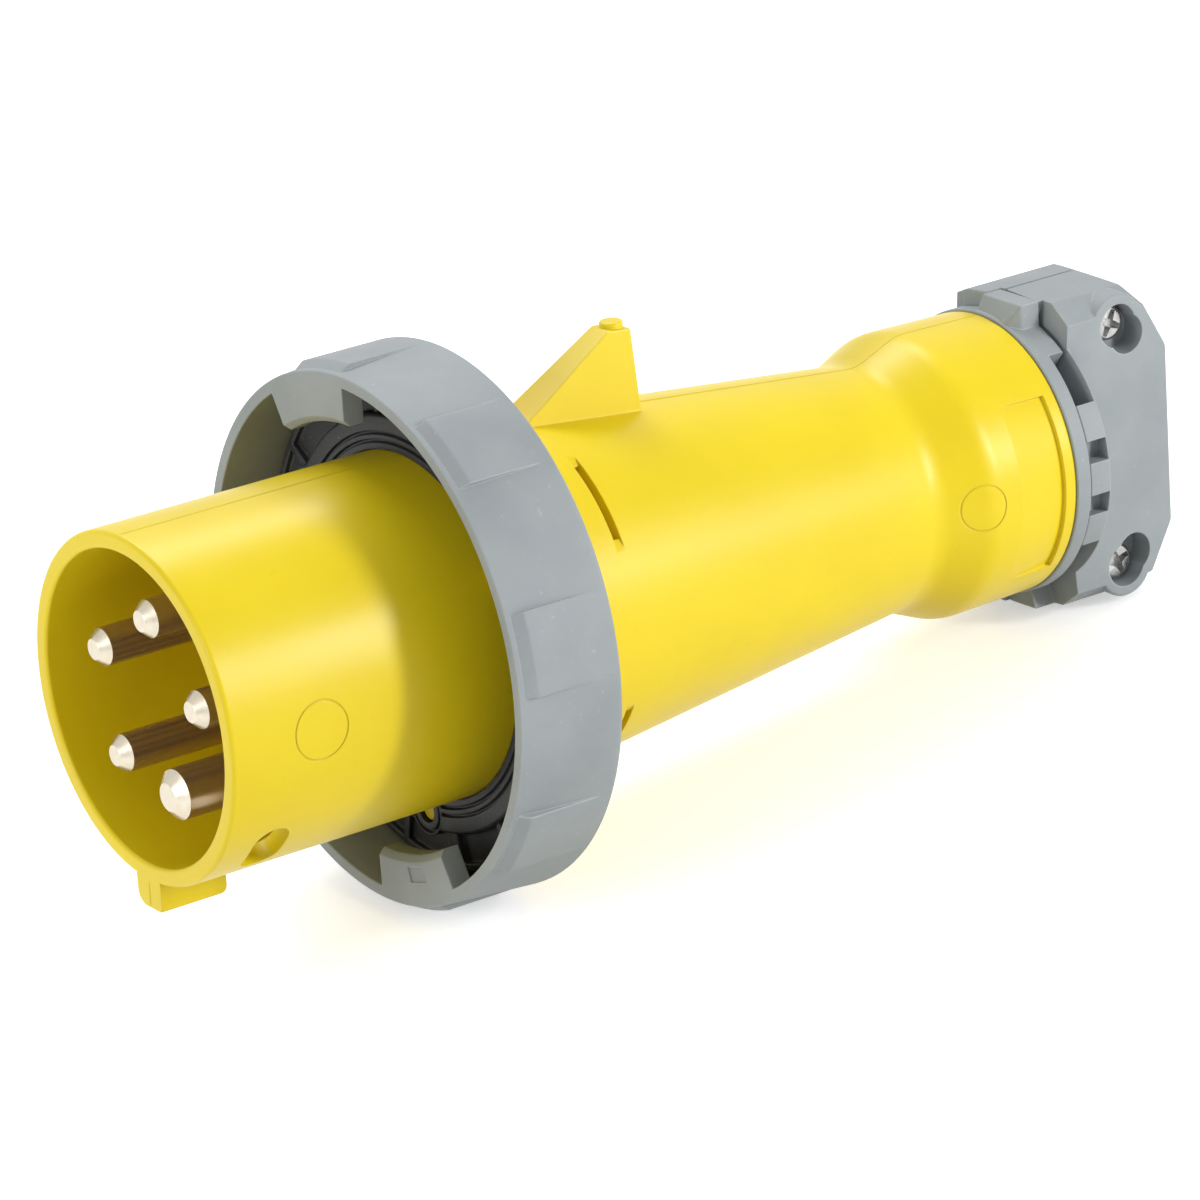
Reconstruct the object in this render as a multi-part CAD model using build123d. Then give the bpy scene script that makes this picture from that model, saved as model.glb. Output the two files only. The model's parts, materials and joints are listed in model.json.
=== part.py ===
from build123d import *
import os
from math import atan2, degrees

# Sizes are in millimetres. X runs along the plug from the mouth of the sleeve to the cable end,
# Z points up through the fin, and every angle is turned about X from the top.
# The finished plug is then laid down on its ring and its cable clamp, as it rests on a bench.

# Clearances
fit_gap = 0.1
ring_gap = 0.3

# Front sleeve
sleeve_radius = 31.75
sleeve_wall = 3.3
sleeve_rim_chamfer = 0.5
pin_face_depth = 46.0
stop_rim_length = 4.0
stop_rim_height = 1.5
flange_front = 62.0
flange_thickness = 3.0
spigot_length = 4.8
key_width = 7.6
key_height = 5.0
key_length = 13.4
key_corner = 2.6
notch_angle = 134.6
notch_x = 10.4
notch_width = 7.3
notch_length = 12.6

# Locking ring
ring_reach = 18.25
ring_taper = 1.4
ring_wall = 2.2
ring_length = 20.4
ring_edge_chamfer = 1.5
lip_thickness = 2.4
pad_count = 8
pad_angle = 17.5
pad_centre_angle = -11.0
pad_setback = 0.8
pad_chamfer = 2.2
lug_count = 2
lug_angle = 29.5
lug_centre_angle = -15.0
lug_height = 7.2
lug_thickness = 4.3
lug_chamfer = 1.2
turn_angle = 45.0
stop_tooth_angle = 12.0
stop_tooth_height = 1.8
stop_tooth_centre = 75.0
stop_side_angle = 1.0

# Face gasket
gasket_sheet = 2.0
gasket_seal_height = 2.0
gasket_seal_width = 6.5
gasket_rim_gap = 1.2
gasket_groove_steps = (1.65, 3.15)
gasket_groove_width = 0.6
gasket_groove_depth = 0.7
gasket_rim_width = 1.4
gasket_rib_height = 1.2
gasket_rib_width = 1.5
gasket_rib_count = 16
eyelet_radius = 4.9
eyelet_hole = 2.4
eyelet_ring = 3.8

# Screws that hold the sleeve to the body
assembly_angles = (180.0, 60.0, -60.0)
assembly_inset = 3.25
assembly_screw_radius = 1.5
assembly_head_radius = 2.9
assembly_head_height = 2.4
assembly_boss_radius = 2.2
assembly_boss_setback = 0.8
assembly_tip_wall = 1.5

# Contact carrier, pins and terminals
pin_inset = 12.25
earth_angle = 150.0
pin_step_angle = 72.0
pin_radius = 3.45
earth_radius = 4.6
pin_recess = 1.9
earth_lead = 1.3
pin_tip_share = 0.55
pin_tip_length = 1.8
pin_relief_length = 0.5
pin_relief_depth = 0.2
carrier_floor = 64.0
carrier_tail = 86.0
carrier_tail_wall = 3.45
barrel_extra = 1.4
barrel_recess = 2.0
wire_hole_radius = 2.6
wire_hole_depth = 13.0
terminal_x = 78.0
terminal_screw_radius = 2.0
terminal_screw_rise = 2.6
terminal_slot = 0.9

# O-ring on the spigot, with an eight-sided section
seal_radius = 0.68
seal_groove_width = 1.8
seal_inset = 2.5

# Rear body
hub_cover = 4.7
shoulder_overlap = 3.5
shoulder_thickness = 3.0
body_skin = 1.35
waist_x = 158.5
waist_radius = 23.4
collar_front = 168.0
collar_radius = 27.4
collar_end_radius = 26.9
body_end = 187.7
body_wall = 3.0
waist_round = 5.0
collar_round = 5.0
body_edge_chamfer = 0.6
body_slot_x = 84.2
body_slot_width = 1.7
body_slot_depth = 1.5
body_slot_angles = (45.0, 135.0, 225.0, 315.0)
label_front = 174.6
label_rear = 185.0
label_half_angle = 38.0
label_front_depth = 0.05
label_rear_depth = 0.8
scallop_radius = 3.3
scallop_length = 5.5

# Fin on top of the body
fin_foot_width = 10.2
fin_top_width = 4.0
fin_front = 82.2
fin_tip_front = 102.3
fin_tip_rear = 107.2
fin_rise = 11.2
fin_tip_drop = 0.5
fin_edge_chamfer = 0.6
fin_disc_radius = 2.15
fin_disc_rise = 0.9

# Cable grommet and its washer
grommet_seat = 170.0
grommet_bore = 8.5
grommet_nose_radius = 19.0
washer_thickness = 1.4
washer_bore = 10.5

# Cable clamp
base_radius = 27.3
base_thickness = 3.2
base_spigot = 1.5
base_bore = 12.5
base_ear_near = 9.8
base_ear_far = 1.4
base_ear_corner = 2.0
base_ear_setback = 0.3
base_ear_slant = 2.0
base_ear_drop = 0.2
base_ear_facet = 3.4
base_ear_reach = 3.3
base_ear_root = 20.0
base_rim_end_angle = 37.0
base_neck_radius = 15.2
base_neck_length = 3.4
base_catch_radius = 18.0
base_catch_length = 2.6
clamp_gap = 0.4
clamp_half_height = 30.3
clamp_near_shoulder = 11.5
clamp_far_shoulder = 7.0
clamp_shoulder_drop = 0.6
clamp_face = 16.2
clamp_face_drop = 4.2
clamp_length = 27.9
clamp_toe_length = 7.2
clamp_toe_drop = 13.0
clamp_cone_radius = 27.2
clamp_cone_straight = 4.6
clamp_cone_length = 12.6
clamp_channel = 11.0
clamp_rib_height = 1.8
clamp_rib_width = 1.6
clamp_rib_count = 3
clamp_lobe = 6.2
window_inner = 3.1
window_outer = 7.2
window_depth = 3.6
crescent_start = 17.0
crescent_end = 60.0
crescent_front_width = 3.6
crescent_width = 4.9
crescent_depth = 7.0

# Clamp screws and nuts
clamp_screw_setback = 11.3
clamp_screw_inset = 6.8
clamp_screw_radius = 1.75
clamp_head_radius = 3.5
clamp_head_height = 2.6
clamp_head_depth = 2.6
recess_radius = 4.2
recess_lobe_radius = 3.8
recess_lobe_shift = 2.0
nut_width = 6.0
nut_height = 2.8
nut_recess_depth = 4.2

# Places worked out from the sizes above
sleeve_bore = sleeve_radius - sleeve_wall
pitch_radius = sleeve_bore - pin_inset
carrier_tail_radius = sleeve_bore - carrier_tail_wall
stop_rim_radius = sleeve_bore - stop_rim_height
assembly_circle = sleeve_radius + assembly_inset
hub_radius = assembly_circle + hub_cover
lip_radius = hub_radius + ring_gap
shoulder_radius = lip_radius + shoulder_overlap
cone_front_radius = sleeve_radius + fit_gap + body_skin
fin_height = cone_front_radius + fin_rise
ring_radius = sleeve_radius + ring_reach
ring_front_radius = ring_radius - ring_taper
flange_rear = flange_front + flange_thickness
spigot_end = flange_rear + spigot_length
sheet_front = flange_front - gasket_sheet
seal_front = sheet_front - gasket_seal_height
ring_bore = ring_front_radius - ring_wall
lug_radius = ring_bore - lug_height
gasket_outer_radius = ring_bore - gasket_rim_gap
flange_radius = ring_bore - ring_gap
lip_front = flange_rear + ring_gap
ring_rear = lip_front + lip_thickness
ring_front = ring_rear - ring_length
shoulder_front = ring_rear + ring_gap
shoulder_rear = shoulder_front + shoulder_thickness
boss_front = seal_front + assembly_boss_setback
boss_hole_front = boss_front + assembly_tip_wall
body_seat = spigot_end + fit_gap
body_slope = (cone_front_radius - waist_radius) / (waist_x - shoulder_rear)
cavity_front_radius = cone_front_radius - body_wall - stop_rim_height - fit_gap
cavity_waist_radius = waist_radius - body_wall
collar_bore = collar_end_radius - body_wall + fit_gap
washer_front = body_end - base_spigot - washer_thickness
barrel_end = carrier_tail - barrel_recess
base_rear = body_end + base_thickness
ear_rear = base_rear + base_ear_reach
neck_end = base_rear + base_neck_length
catch_end = neck_end + base_catch_length
clamp_end = base_rear + clamp_length
clamp_toe_x = clamp_end - clamp_toe_length
clamp_screw_x = clamp_end - clamp_screw_setback
clamp_screw_z = clamp_half_height - clamp_screw_inset
clamp_flat_height = clamp_half_height - clamp_toe_drop
clamp_face_height = clamp_half_height - clamp_face_drop
recess_floor = clamp_head_depth + clamp_head_height - clamp_face


def round_bar(radius, start, end):
    return Pos((start + end) / 2, 0, 0) * Rot(0, 90, 0) * Cylinder(radius, end - start)


def hollow_bar(radius, bore, start, end):
    return round_bar(radius, start, end) - round_bar(bore, start - 1, end + 1)


def block(x_span, y_span, z_span):
    size = [high - low for low, high in (x_span, y_span, z_span)]
    middle = [(low + high) / 2 for low, high in (x_span, y_span, z_span)]
    return Pos(*middle) * Box(*size)


def side_face(*points):
    return Plane.XZ * Polygon(*points, align=None)


def turned(*points):
    return revolve(side_face(*points), Axis.X)


def sector(points, centre_angle, width_angle):
    arc = revolve(side_face(*points), Axis.X, revolution_arc=width_angle)
    return Rot(centre_angle - width_angle / 2, 0, 0) * arc


def at_angle(shape, angle):
    return Rot(angle, 0, 0) * shape


def cross_bar(radius, x, z, y_start, y_end):
    return Pos(x, (y_start + y_end) / 2, z) * Rot(90, 0, 0) * Cylinder(radius, abs(y_end - y_start))


def make_front_sleeve():
    tube = round_bar(sleeve_radius, 0, spigot_end)
    tube += round_bar(flange_radius, flange_front, flange_rear)
    for angle in assembly_angles:
        boss = Pos(0, 0, assembly_circle) * round_bar(assembly_boss_radius, boss_front, flange_front)
        tube += at_angle(boss, angle)
    tube -= round_bar(sleeve_bore, -1, pin_face_depth)
    tube -= round_bar(stop_rim_radius, pin_face_depth - 1, spigot_end + 1)
    tube -= round_bar(sleeve_bore, pin_face_depth + stop_rim_length, spigot_end + 1)
    rim_edges = tube.edges().filter_by(GeomType.CIRCLE).group_by(Axis.X)[0]
    tube = chamfer(rim_edges, sleeve_rim_chamfer)
    tube -= seal_groove()
    for angle in assembly_angles:
        hole = round_bar(assembly_screw_radius + fit_gap / 2, boss_hole_front, flange_rear + 1)
        tube -= at_angle(Pos(0, 0, assembly_circle) * hole, angle)
    tube -= at_angle(interlock_notch(), notch_angle)
    return tube + make_key()


def make_key():
    half = key_width / 2
    foot = -(sleeve_radius + key_height)
    root = -(sleeve_radius - sleeve_wall / 2)
    front = Pos(0, 0, (foot + root) / 2) * Rot(0, 90, 0) * Box(root - foot, key_width, key_length)
    rib = Pos(key_length / 2, 0, 0) * front
    far_corner = rib.edges().filter_by(Axis.X).group_by(Axis.Z)[0].sort_by(Axis.Y)[-1]
    rib = fillet(far_corner, key_corner)
    near_corner = rib.edges().filter_by(Axis.X).group_by(Axis.Z)[0].sort_by(Axis.Y)[0]
    rib = fillet(near_corner, key_corner / 4)
    return rib - block((-1, key_length + 1), (-half, half), (root, 0)) - round_bar(sleeve_bore, -1, key_length + 1)


def interlock_notch():
    outline = SlotOverall(notch_length, notch_width)
    start = sleeve_bore - sleeve_wall
    return extrude(Pos(notch_x, 0, start) * Rot(0, 0, 90) * outline, 3 * sleeve_wall)


def seal_groove():
    front = flange_rear + seal_inset - seal_groove_width / 2
    floor = sleeve_radius - 2 * seal_radius + fit_gap / 2
    return hollow_bar(sleeve_radius + 1, floor, front, front + seal_groove_width)


def make_body_seal():
    centre_radius = sleeve_radius - seal_radius + fit_gap / 2
    section = RegularPolygon(seal_radius - fit_gap / 10, 8)
    return revolve(Pos(flange_rear + seal_inset, 0, centre_radius) * Rot(90, 0, 0) * section, Axis.X)


def make_locking_ring():
    ring = turned(
        (ring_front, ring_bore),
        (ring_front, ring_front_radius),
        (ring_rear - ring_edge_chamfer, ring_radius),
        (ring_rear, ring_radius - ring_edge_chamfer),
        (ring_rear, lip_radius),
        (lip_front, lip_radius),
        (lip_front, ring_bore),
    )
    for index in range(pad_count):
        angle = pad_centre_angle + index * 360 / pad_count
        ring += grip_pad(angle)
    for index in range(lug_count):
        ring += bayonet_lug(lug_centre_angle + index * 360 / lug_count)
        ring += stop_tooth(stop_tooth_centre + index * 360 / lug_count)
    return ring


def grip_pad(angle):
    start = ring_front + pad_setback
    pad_end = ring_rear - ring_edge_chamfer
    inner = ring_bore + ring_wall / 2
    points = (
        (start, inner),
        (start, ring_front_radius),
        (start + pad_chamfer, ring_radius),
        (pad_end, ring_radius),
        (pad_end, inner),
    )
    return sector(points, angle, pad_angle)


def bayonet_lug(angle):
    outer = ring_bore + ring_wall / 2
    rear = ring_front + lug_thickness
    points = (
        (ring_front, outer),
        (ring_front, lug_radius + lug_chamfer),
        (ring_front + lug_chamfer, lug_radius),
        (rear, lug_radius),
        (rear, outer),
    )
    return sector(points, angle, lug_angle)


def stop_tooth(angle):
    tip = lip_radius - stop_tooth_height
    outer = lip_radius + ring_wall
    points = ((lip_front, tip), (lip_front, outer), (ring_rear, outer), (ring_rear, tip))
    return sector(points, angle, stop_tooth_angle)


def make_face_gasket():
    inner = sleeve_radius + fit_gap
    seal_radius_out = inner + gasket_seal_width
    gasket = hollow_bar(gasket_outer_radius, inner, sheet_front, flange_front)
    seal = hollow_bar(seal_radius_out, inner, seal_front, sheet_front)
    rib_front = sheet_front - gasket_rib_height
    rim = hollow_bar(gasket_outer_radius, gasket_outer_radius - gasket_rim_width, rib_front, sheet_front)
    gasket = gasket + seal + rim
    rib_span = (seal_radius_out - 1, gasket_outer_radius - gasket_rim_width / 2)
    rib = block((rib_front, sheet_front), (-gasket_rib_width / 2, gasket_rib_width / 2), rib_span)
    for index in range(gasket_rib_count):
        gasket += at_angle(rib, (index + 0.5) * 360 / gasket_rib_count)
    groove_end = seal_front + gasket_groove_depth
    half = gasket_groove_width / 2
    for step in gasket_groove_steps:
        radius = sleeve_radius + step
        gasket -= hollow_bar(radius + half, radius - half, seal_front - 1, groove_end)
    for angle in assembly_angles:
        gasket += at_angle(eyelet(), angle) - round_bar(inner, seal_front - 1, flange_front + 1)
        hole = Pos(0, 0, assembly_circle) * round_bar(eyelet_hole, seal_front - 1, flange_front + 1)
        gasket -= at_angle(hole, angle)
    return gasket


def eyelet():
    boss = round_bar(eyelet_radius, seal_front, flange_front)
    groove_end = seal_front + gasket_groove_depth
    groove = hollow_bar(eyelet_ring + gasket_groove_width, eyelet_ring, seal_front - 1, groove_end)
    return Pos(0, 0, assembly_circle) * (boss - groove)


def pin_places():
    places = []
    for index, name in enumerate(("earth_pin", "line_pin_1", "line_pin_2", "line_pin_3", "neutral_pin")):
        radius = earth_radius if index == 0 else pin_radius
        lead = earth_lead if index == 0 else 0.0
        places.append((name, earth_angle + index * pin_step_angle, radius, lead))
    return places


def make_pin(radius, lead):
    tip = pin_recess - lead
    shoulder = tip + pin_tip_length
    barrel = radius + barrel_extra
    points = (
        (tip, 0),
        (tip, radius * pin_tip_share),
        (shoulder, radius),
        (pin_face_depth - pin_relief_length, radius),
        (pin_face_depth - pin_relief_length, radius - pin_relief_depth),
        (pin_face_depth, radius - pin_relief_depth),
        (pin_face_depth, radius),
        (carrier_floor, radius),
        (carrier_floor, barrel),
        (barrel_end, barrel),
        (barrel_end, 0),
    )
    pin = turned(*points)
    pin -= round_bar(wire_hole_radius, barrel_end - wire_hole_depth, barrel_end + 1)
    tapped = Pos(terminal_x, 0, barrel / 2) * Cylinder(terminal_screw_radius + fit_gap / 2, barrel + 2)
    return Pos(0, 0, pitch_radius) * (pin - tapped)


def make_terminal_screw(radius):
    barrel = radius + barrel_extra
    foot = wire_hole_radius * 0.55
    head = barrel + terminal_screw_rise
    screw = Pos(terminal_x, 0, (foot + head) / 2) * Cylinder(terminal_screw_radius, head - foot)
    slot_span = (-terminal_slot / 2, terminal_slot / 2)
    reach = terminal_screw_radius + 1
    screw -= block((terminal_x - reach, terminal_x + reach), slot_span, (head - terminal_slot, head + 1))
    return Pos(0, 0, pitch_radius) * screw


def make_pin_carrier():
    waist = pin_face_depth + stop_rim_length
    carrier = round_bar(stop_rim_radius - fit_gap, pin_face_depth, waist + fit_gap)
    carrier += round_bar(sleeve_bore - fit_gap, waist + fit_gap, spigot_end)
    carrier += round_bar(carrier_tail_radius, spigot_end - 1, carrier_tail)
    for name, angle, radius, lead in pin_places():
        bore = round_bar(radius + fit_gap / 2, pin_face_depth - 1, carrier_floor + 1)
        chamber_radius = radius + barrel_extra + fit_gap
        chamber = round_bar(chamber_radius, carrier_floor, carrier_tail + 1)
        access_half = terminal_screw_radius + 1
        access = block((terminal_x - access_half, carrier_tail + 1), (-access_half, access_half), (0, pitch_radius))
        carrier -= at_angle(Pos(0, 0, pitch_radius) * (bore + chamber + access), angle)
    return carrier


def make_rear_body():
    shell = body_outside()
    shell += make_fin()
    shell -= body_inside()
    for angle in assembly_angles:
        hole = round_bar(assembly_screw_radius + fit_gap, flange_rear - 1, shoulder_rear + 1)
        scallop = round_bar(scallop_radius, shoulder_rear, shoulder_rear + scallop_length)
        shell -= at_angle(Pos(0, 0, assembly_circle) * (hole + scallop), angle)
    recess_angle = stop_tooth_angle + turn_angle + 2 * stop_side_angle
    recess_centre = stop_tooth_centre + turn_angle / 2
    floor = lip_radius - stop_tooth_height - ring_gap
    points = (
        (flange_rear - 1, floor),
        (flange_rear - 1, hub_radius + 1),
        (shoulder_front, hub_radius + 1),
        (shoulder_front, floor),
    )
    for index in range(lug_count):
        shell -= sector(points, recess_centre + index * 360 / lug_count, recess_angle)
    slot_radius = cone_front_radius - body_slope * (body_slot_x - shoulder_rear)
    slot_span = (body_slot_x - body_slot_width / 2, body_slot_x + body_slot_width / 2)
    slot = block(slot_span, (-slot_radius, slot_radius), (slot_radius - body_slot_depth, slot_radius + 1))
    for angle in body_slot_angles:
        shell -= at_angle(slot, angle)
    label_points = (
        (label_front, collar_surface(label_front) - label_front_depth),
        (label_front, collar_radius + 1),
        (label_rear, collar_radius + 1),
        (label_rear, collar_surface(label_rear) - label_rear_depth),
    )
    return shell - sector(label_points, 90, 2 * label_half_angle)


def collar_surface(x):
    share = (x - collar_front) / (body_end - collar_front)
    return collar_radius + (collar_end_radius - collar_radius) * share


def body_outside():
    line = FilletPolyline(
        (shoulder_rear, cone_front_radius),
        (waist_x, waist_radius),
        (collar_front, collar_radius),
        (body_end - body_edge_chamfer, collar_surface(body_end - body_edge_chamfer)),
        radius=(waist_round, collar_round),
    )
    closing = Polyline((body_end - body_edge_chamfer, collar_surface(body_end - body_edge_chamfer)),
                       (body_end, collar_end_radius - body_edge_chamfer), (body_end, 0),
                       (flange_rear, 0), (flange_rear, hub_radius),
                       (shoulder_front, hub_radius), (shoulder_front, shoulder_radius),
                       (shoulder_rear, shoulder_radius), (shoulder_rear, cone_front_radius))
    return revolve(Plane.XZ * make_face(line + closing), Axis.X)


def body_inside():
    points = (
        (flange_rear - 1, 0),
        (flange_rear - 1, sleeve_radius + fit_gap),
        (body_seat, sleeve_radius + fit_gap),
        (body_seat, cavity_front_radius),
        (waist_x, cavity_waist_radius),
        (grommet_seat, cavity_waist_radius),
        (grommet_seat, collar_bore),
        (body_end + 1, collar_bore),
        (body_end + 1, 0),
    )
    return turned(*points)


def make_fin():
    foot_half = fin_foot_width / 2
    top_half = fin_top_width / 2
    root = waist_radius
    outline = side_face(
        (fin_front, root),
        (fin_front, cone_front_radius - body_slope * (fin_front - shoulder_rear)),
        (fin_tip_front, fin_height),
        (fin_tip_rear, fin_height - fin_tip_drop),
        (fin_tip_rear, root),
    )
    section = Plane.YZ * Polygon(
        (-foot_half, root),
        (foot_half, root),
        (top_half, fin_height),
        (-top_half, fin_height),
        align=None,
    )
    wedge = Pos(fin_tip_rear, 0, 0) * extrude(section, fin_front - fin_tip_rear)
    fin = extrude(outline, foot_half, both=True) & wedge
    rear_face = fin.faces().sort_by(Axis.X)[-1]
    fin = chamfer(rear_face.edges().sort_by(SortBy.LENGTH)[-2:], fin_edge_chamfer)
    disc_low = fin_height - fin_disc_radius
    disc_high = fin_height + fin_disc_rise
    disc = Cylinder(fin_disc_radius, disc_high - disc_low)
    return fin + Pos((fin_tip_front + fin_tip_rear) / 2, 0, (disc_low + disc_high) / 2) * disc


def make_assembly_screws():
    shank = round_bar(assembly_screw_radius, boss_hole_front + fit_gap, shoulder_rear)
    head = round_bar(assembly_head_radius, shoulder_rear, shoulder_rear + assembly_head_height)
    socket = round_bar(assembly_screw_radius * 0.9, shoulder_rear + assembly_head_height / 2,
                       shoulder_rear + assembly_head_height + 1)
    screw = Pos(0, 0, assembly_circle) * (shank + head - socket)
    return [at_angle(screw, angle) for angle in assembly_angles]


def make_cable_grommet():
    outside = collar_bore - fit_gap
    points = (
        (grommet_seat, grommet_bore),
        (grommet_seat, grommet_nose_radius),
        (grommet_seat + 2, outside),
        (washer_front, outside),
        (washer_front, grommet_bore),
    )
    return turned(*points)


def make_thrust_washer():
    return hollow_bar(collar_bore - fit_gap, washer_bore, washer_front, body_end - base_spigot)


def make_clamp_base():
    base = round_bar(base_radius, body_end, base_rear)
    base += base_ears()
    base += round_bar(collar_bore - fit_gap, body_end - base_spigot, body_end)
    base += round_bar(base_neck_radius, base_rear, neck_end)
    base += round_bar(base_catch_radius, neck_end, catch_end)
    return base - round_bar(base_bore, body_end - base_spigot - 1, catch_end + 1)


def base_ears():
    front = body_end + base_ear_setback
    top = clamp_half_height - base_ear_drop
    facet_foot = top - base_ear_facet
    profile = side_face(
        (front, base_ear_root),
        (front, facet_foot),
        (front + base_ear_slant, top),
        (ear_rear, top),
        (ear_rear, base_ear_root),
    )
    plan = Polygon(
        (front, base_ear_corner - base_ear_near),
        (front + base_ear_corner, -base_ear_near),
        (ear_rear, -base_ear_near),
        (ear_rear, base_ear_far),
        (front, base_ear_far),
        align=None,
    )
    ear = extrude(profile, base_ear_near, both=True) & extrude(plan, top)
    rim_foot = clamp_cone_radius - crescent_depth + 1
    rim_points = (
        (base_rear - 1, rim_foot),
        (base_rear - 1, base_radius),
        (ear_rear, base_radius),
        (ear_rear, rim_foot),
    )
    ear += sector(rim_points, base_rim_end_angle / 2, base_rim_end_angle)
    return ear + at_angle(ear, 180)


def ear_pockets():
    y_span = (-base_ear_near - fit_gap, base_ear_far + fit_gap)
    pocket = block((base_rear - 1, ear_rear + fit_gap), y_span, (base_ear_root - fit_gap, clamp_half_height + 1))
    return pocket + at_angle(pocket, 180)


def clamp_body(shoulder_y):
    front = base_rear
    outline = Plane.XZ * Polygon(
        (front, -clamp_half_height),
        (clamp_toe_x, -clamp_half_height),
        (clamp_end, -clamp_flat_height),
        (clamp_end, clamp_flat_height),
        (clamp_toe_x, clamp_half_height),
        (front, clamp_half_height),
        align=None,
    )
    plate = extrude(outline, clamp_face, both=True)
    shoulder_z = clamp_half_height - clamp_shoulder_drop
    section = Plane.YZ * Polygon(
        (-clamp_gap, clamp_half_height),
        (-shoulder_y, shoulder_z),
        (-clamp_face, clamp_face_height),
        (-clamp_face, -clamp_face_height),
        (-shoulder_y, -shoulder_z),
        (-clamp_gap, -clamp_half_height),
        align=None,
    )
    middle = (front + clamp_end) / 2
    plate &= Pos(middle, 0, 0) * extrude(section, middle - front, both=True)
    cone_end = front + clamp_cone_length
    straight_end = front + clamp_cone_straight
    cone = turned((front, 0), (front, clamp_cone_radius), (straight_end, clamp_cone_radius),
                  (cone_end, clamp_face - 1), (cone_end, 0))
    reach = clamp_cone_radius + 1
    near_side = block((front, cone_end), (-reach, -clamp_gap), (-reach, reach))
    return plate + (cone & near_side)


def clamp_cuts():
    front = base_rear
    cuts = round_bar(clamp_channel, front - 1, clamp_end + 1)
    cuts += round_bar(base_neck_radius + fit_gap, front - 1, neck_end + fit_gap)
    cuts += round_bar(base_catch_radius + fit_gap, neck_end - fit_gap, catch_end + fit_gap)
    for side in (-1, 1):
        low, high = sorted((side * window_inner, side * window_outer))
        deep = (-clamp_cone_radius - 1, -clamp_cone_radius + window_depth)
        cuts += block((front - 1, front + clamp_cone_straight - fit_gap), deep, (low, high))
    inner = clamp_cone_radius - crescent_depth
    outer = clamp_half_height + 3
    points = (
        (front - 1, inner),
        (front - 1, outer),
        (front + crescent_width, outer),
        (front + crescent_front_width, inner),
    )
    span = crescent_end - crescent_start
    middle = (crescent_end + crescent_start) / 2
    cuts += sector(points, middle, span)
    cuts += sector(points, 180 - middle, span)
    return cuts


def clamp_ribs():
    rib_start = catch_end + clamp_rib_width
    rib_step = (clamp_end - clamp_rib_width - rib_start) / clamp_rib_count
    ribs = []
    for index in range(clamp_rib_count):
        start = rib_start + (index + 0.5) * rib_step
        rib = hollow_bar(clamp_channel + 1, clamp_channel - clamp_rib_height, start, start + clamp_rib_width)
        reach = clamp_channel + 2
        ribs.append(rib & block((start - 1, start + clamp_rib_width + 1), (-reach, -clamp_gap), (-reach, reach)))
    return ribs


def make_clamp_half_near():
    half = clamp_body(clamp_near_shoulder)
    for side in (-1, 1):
        half += cross_bar(clamp_lobe, clamp_screw_x, side * clamp_screw_z, -clamp_face, -clamp_far_shoulder)
    half -= clamp_cuts()
    for side in (-1, 1):
        z = side * clamp_screw_z
        half -= cross_bar(clamp_screw_radius + fit_gap, clamp_screw_x, z, -clamp_face - 1, 1)
        half -= cross_bar(recess_radius, clamp_screw_x, z, -clamp_face - 1, recess_floor)
        lobe_x = clamp_screw_x + recess_lobe_shift
        lobe_z = side * (clamp_screw_z - recess_lobe_shift)
        half -= cross_bar(recess_lobe_radius, lobe_x, lobe_z, -clamp_face - 1, recess_floor)
    half -= ear_pockets()
    for rib in clamp_ribs():
        half += rib
    return half


def make_clamp_half_far():
    half = clamp_body(clamp_far_shoulder) - clamp_cuts()
    for side in (-1, 1):
        z = side * clamp_screw_z
        half -= cross_bar(clamp_screw_radius + fit_gap, clamp_screw_x, z, -clamp_face - 1, 1)
        half -= Pos(0, -clamp_face + nut_recess_depth, 0) * hexagon(z, nut_width + 2 * fit_gap, nut_recess_depth + 1)
    for rib in clamp_ribs():
        half += rib
    return mirror(half, Plane.XZ) - ear_pockets()


def hexagon(z, width, height):
    outline = RegularPolygon(width / 2, 6, major_radius=False)
    return Pos(clamp_screw_x, 0, z) * Rot(90, 0, 0) * extrude(outline, height)


def make_clamp_screw(side):
    z = side * clamp_screw_z
    head_top = recess_floor - clamp_head_height
    tip = clamp_face - nut_recess_depth + nut_height
    screw = cross_bar(clamp_screw_radius, clamp_screw_x, z, recess_floor, tip)
    screw += cross_bar(clamp_head_radius, clamp_screw_x, z, head_top, recess_floor)
    rim = screw.edges().filter_by(GeomType.CIRCLE).group_by(Axis.Y)[0]
    screw = chamfer(rim, clamp_head_height / 3)
    arm = clamp_head_radius * 0.7
    web = clamp_screw_radius * 0.25
    x_span = (clamp_screw_x - arm, clamp_screw_x + arm)
    thin_x = (clamp_screw_x - web, clamp_screw_x + web)
    cut_y = (head_top - 1, head_top + clamp_head_height / 2)
    cross = block(x_span, cut_y, (z - web, z + web)) + block(thin_x, cut_y, (z - arm, z + arm))
    return screw - cross


def make_clamp_nuts():
    nuts = []
    for side in (-1, 1):
        seat = clamp_face - nut_recess_depth
        nut = Pos(0, seat + nut_height, 0) * hexagon(side * clamp_screw_z, nut_width, nut_height)
        nut -= cross_bar(clamp_screw_radius + fit_gap / 2, clamp_screw_x, side * clamp_screw_z, seat - 1,
                         seat + nut_height + 1)
        nuts.append(nut)
    return nuts


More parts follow.
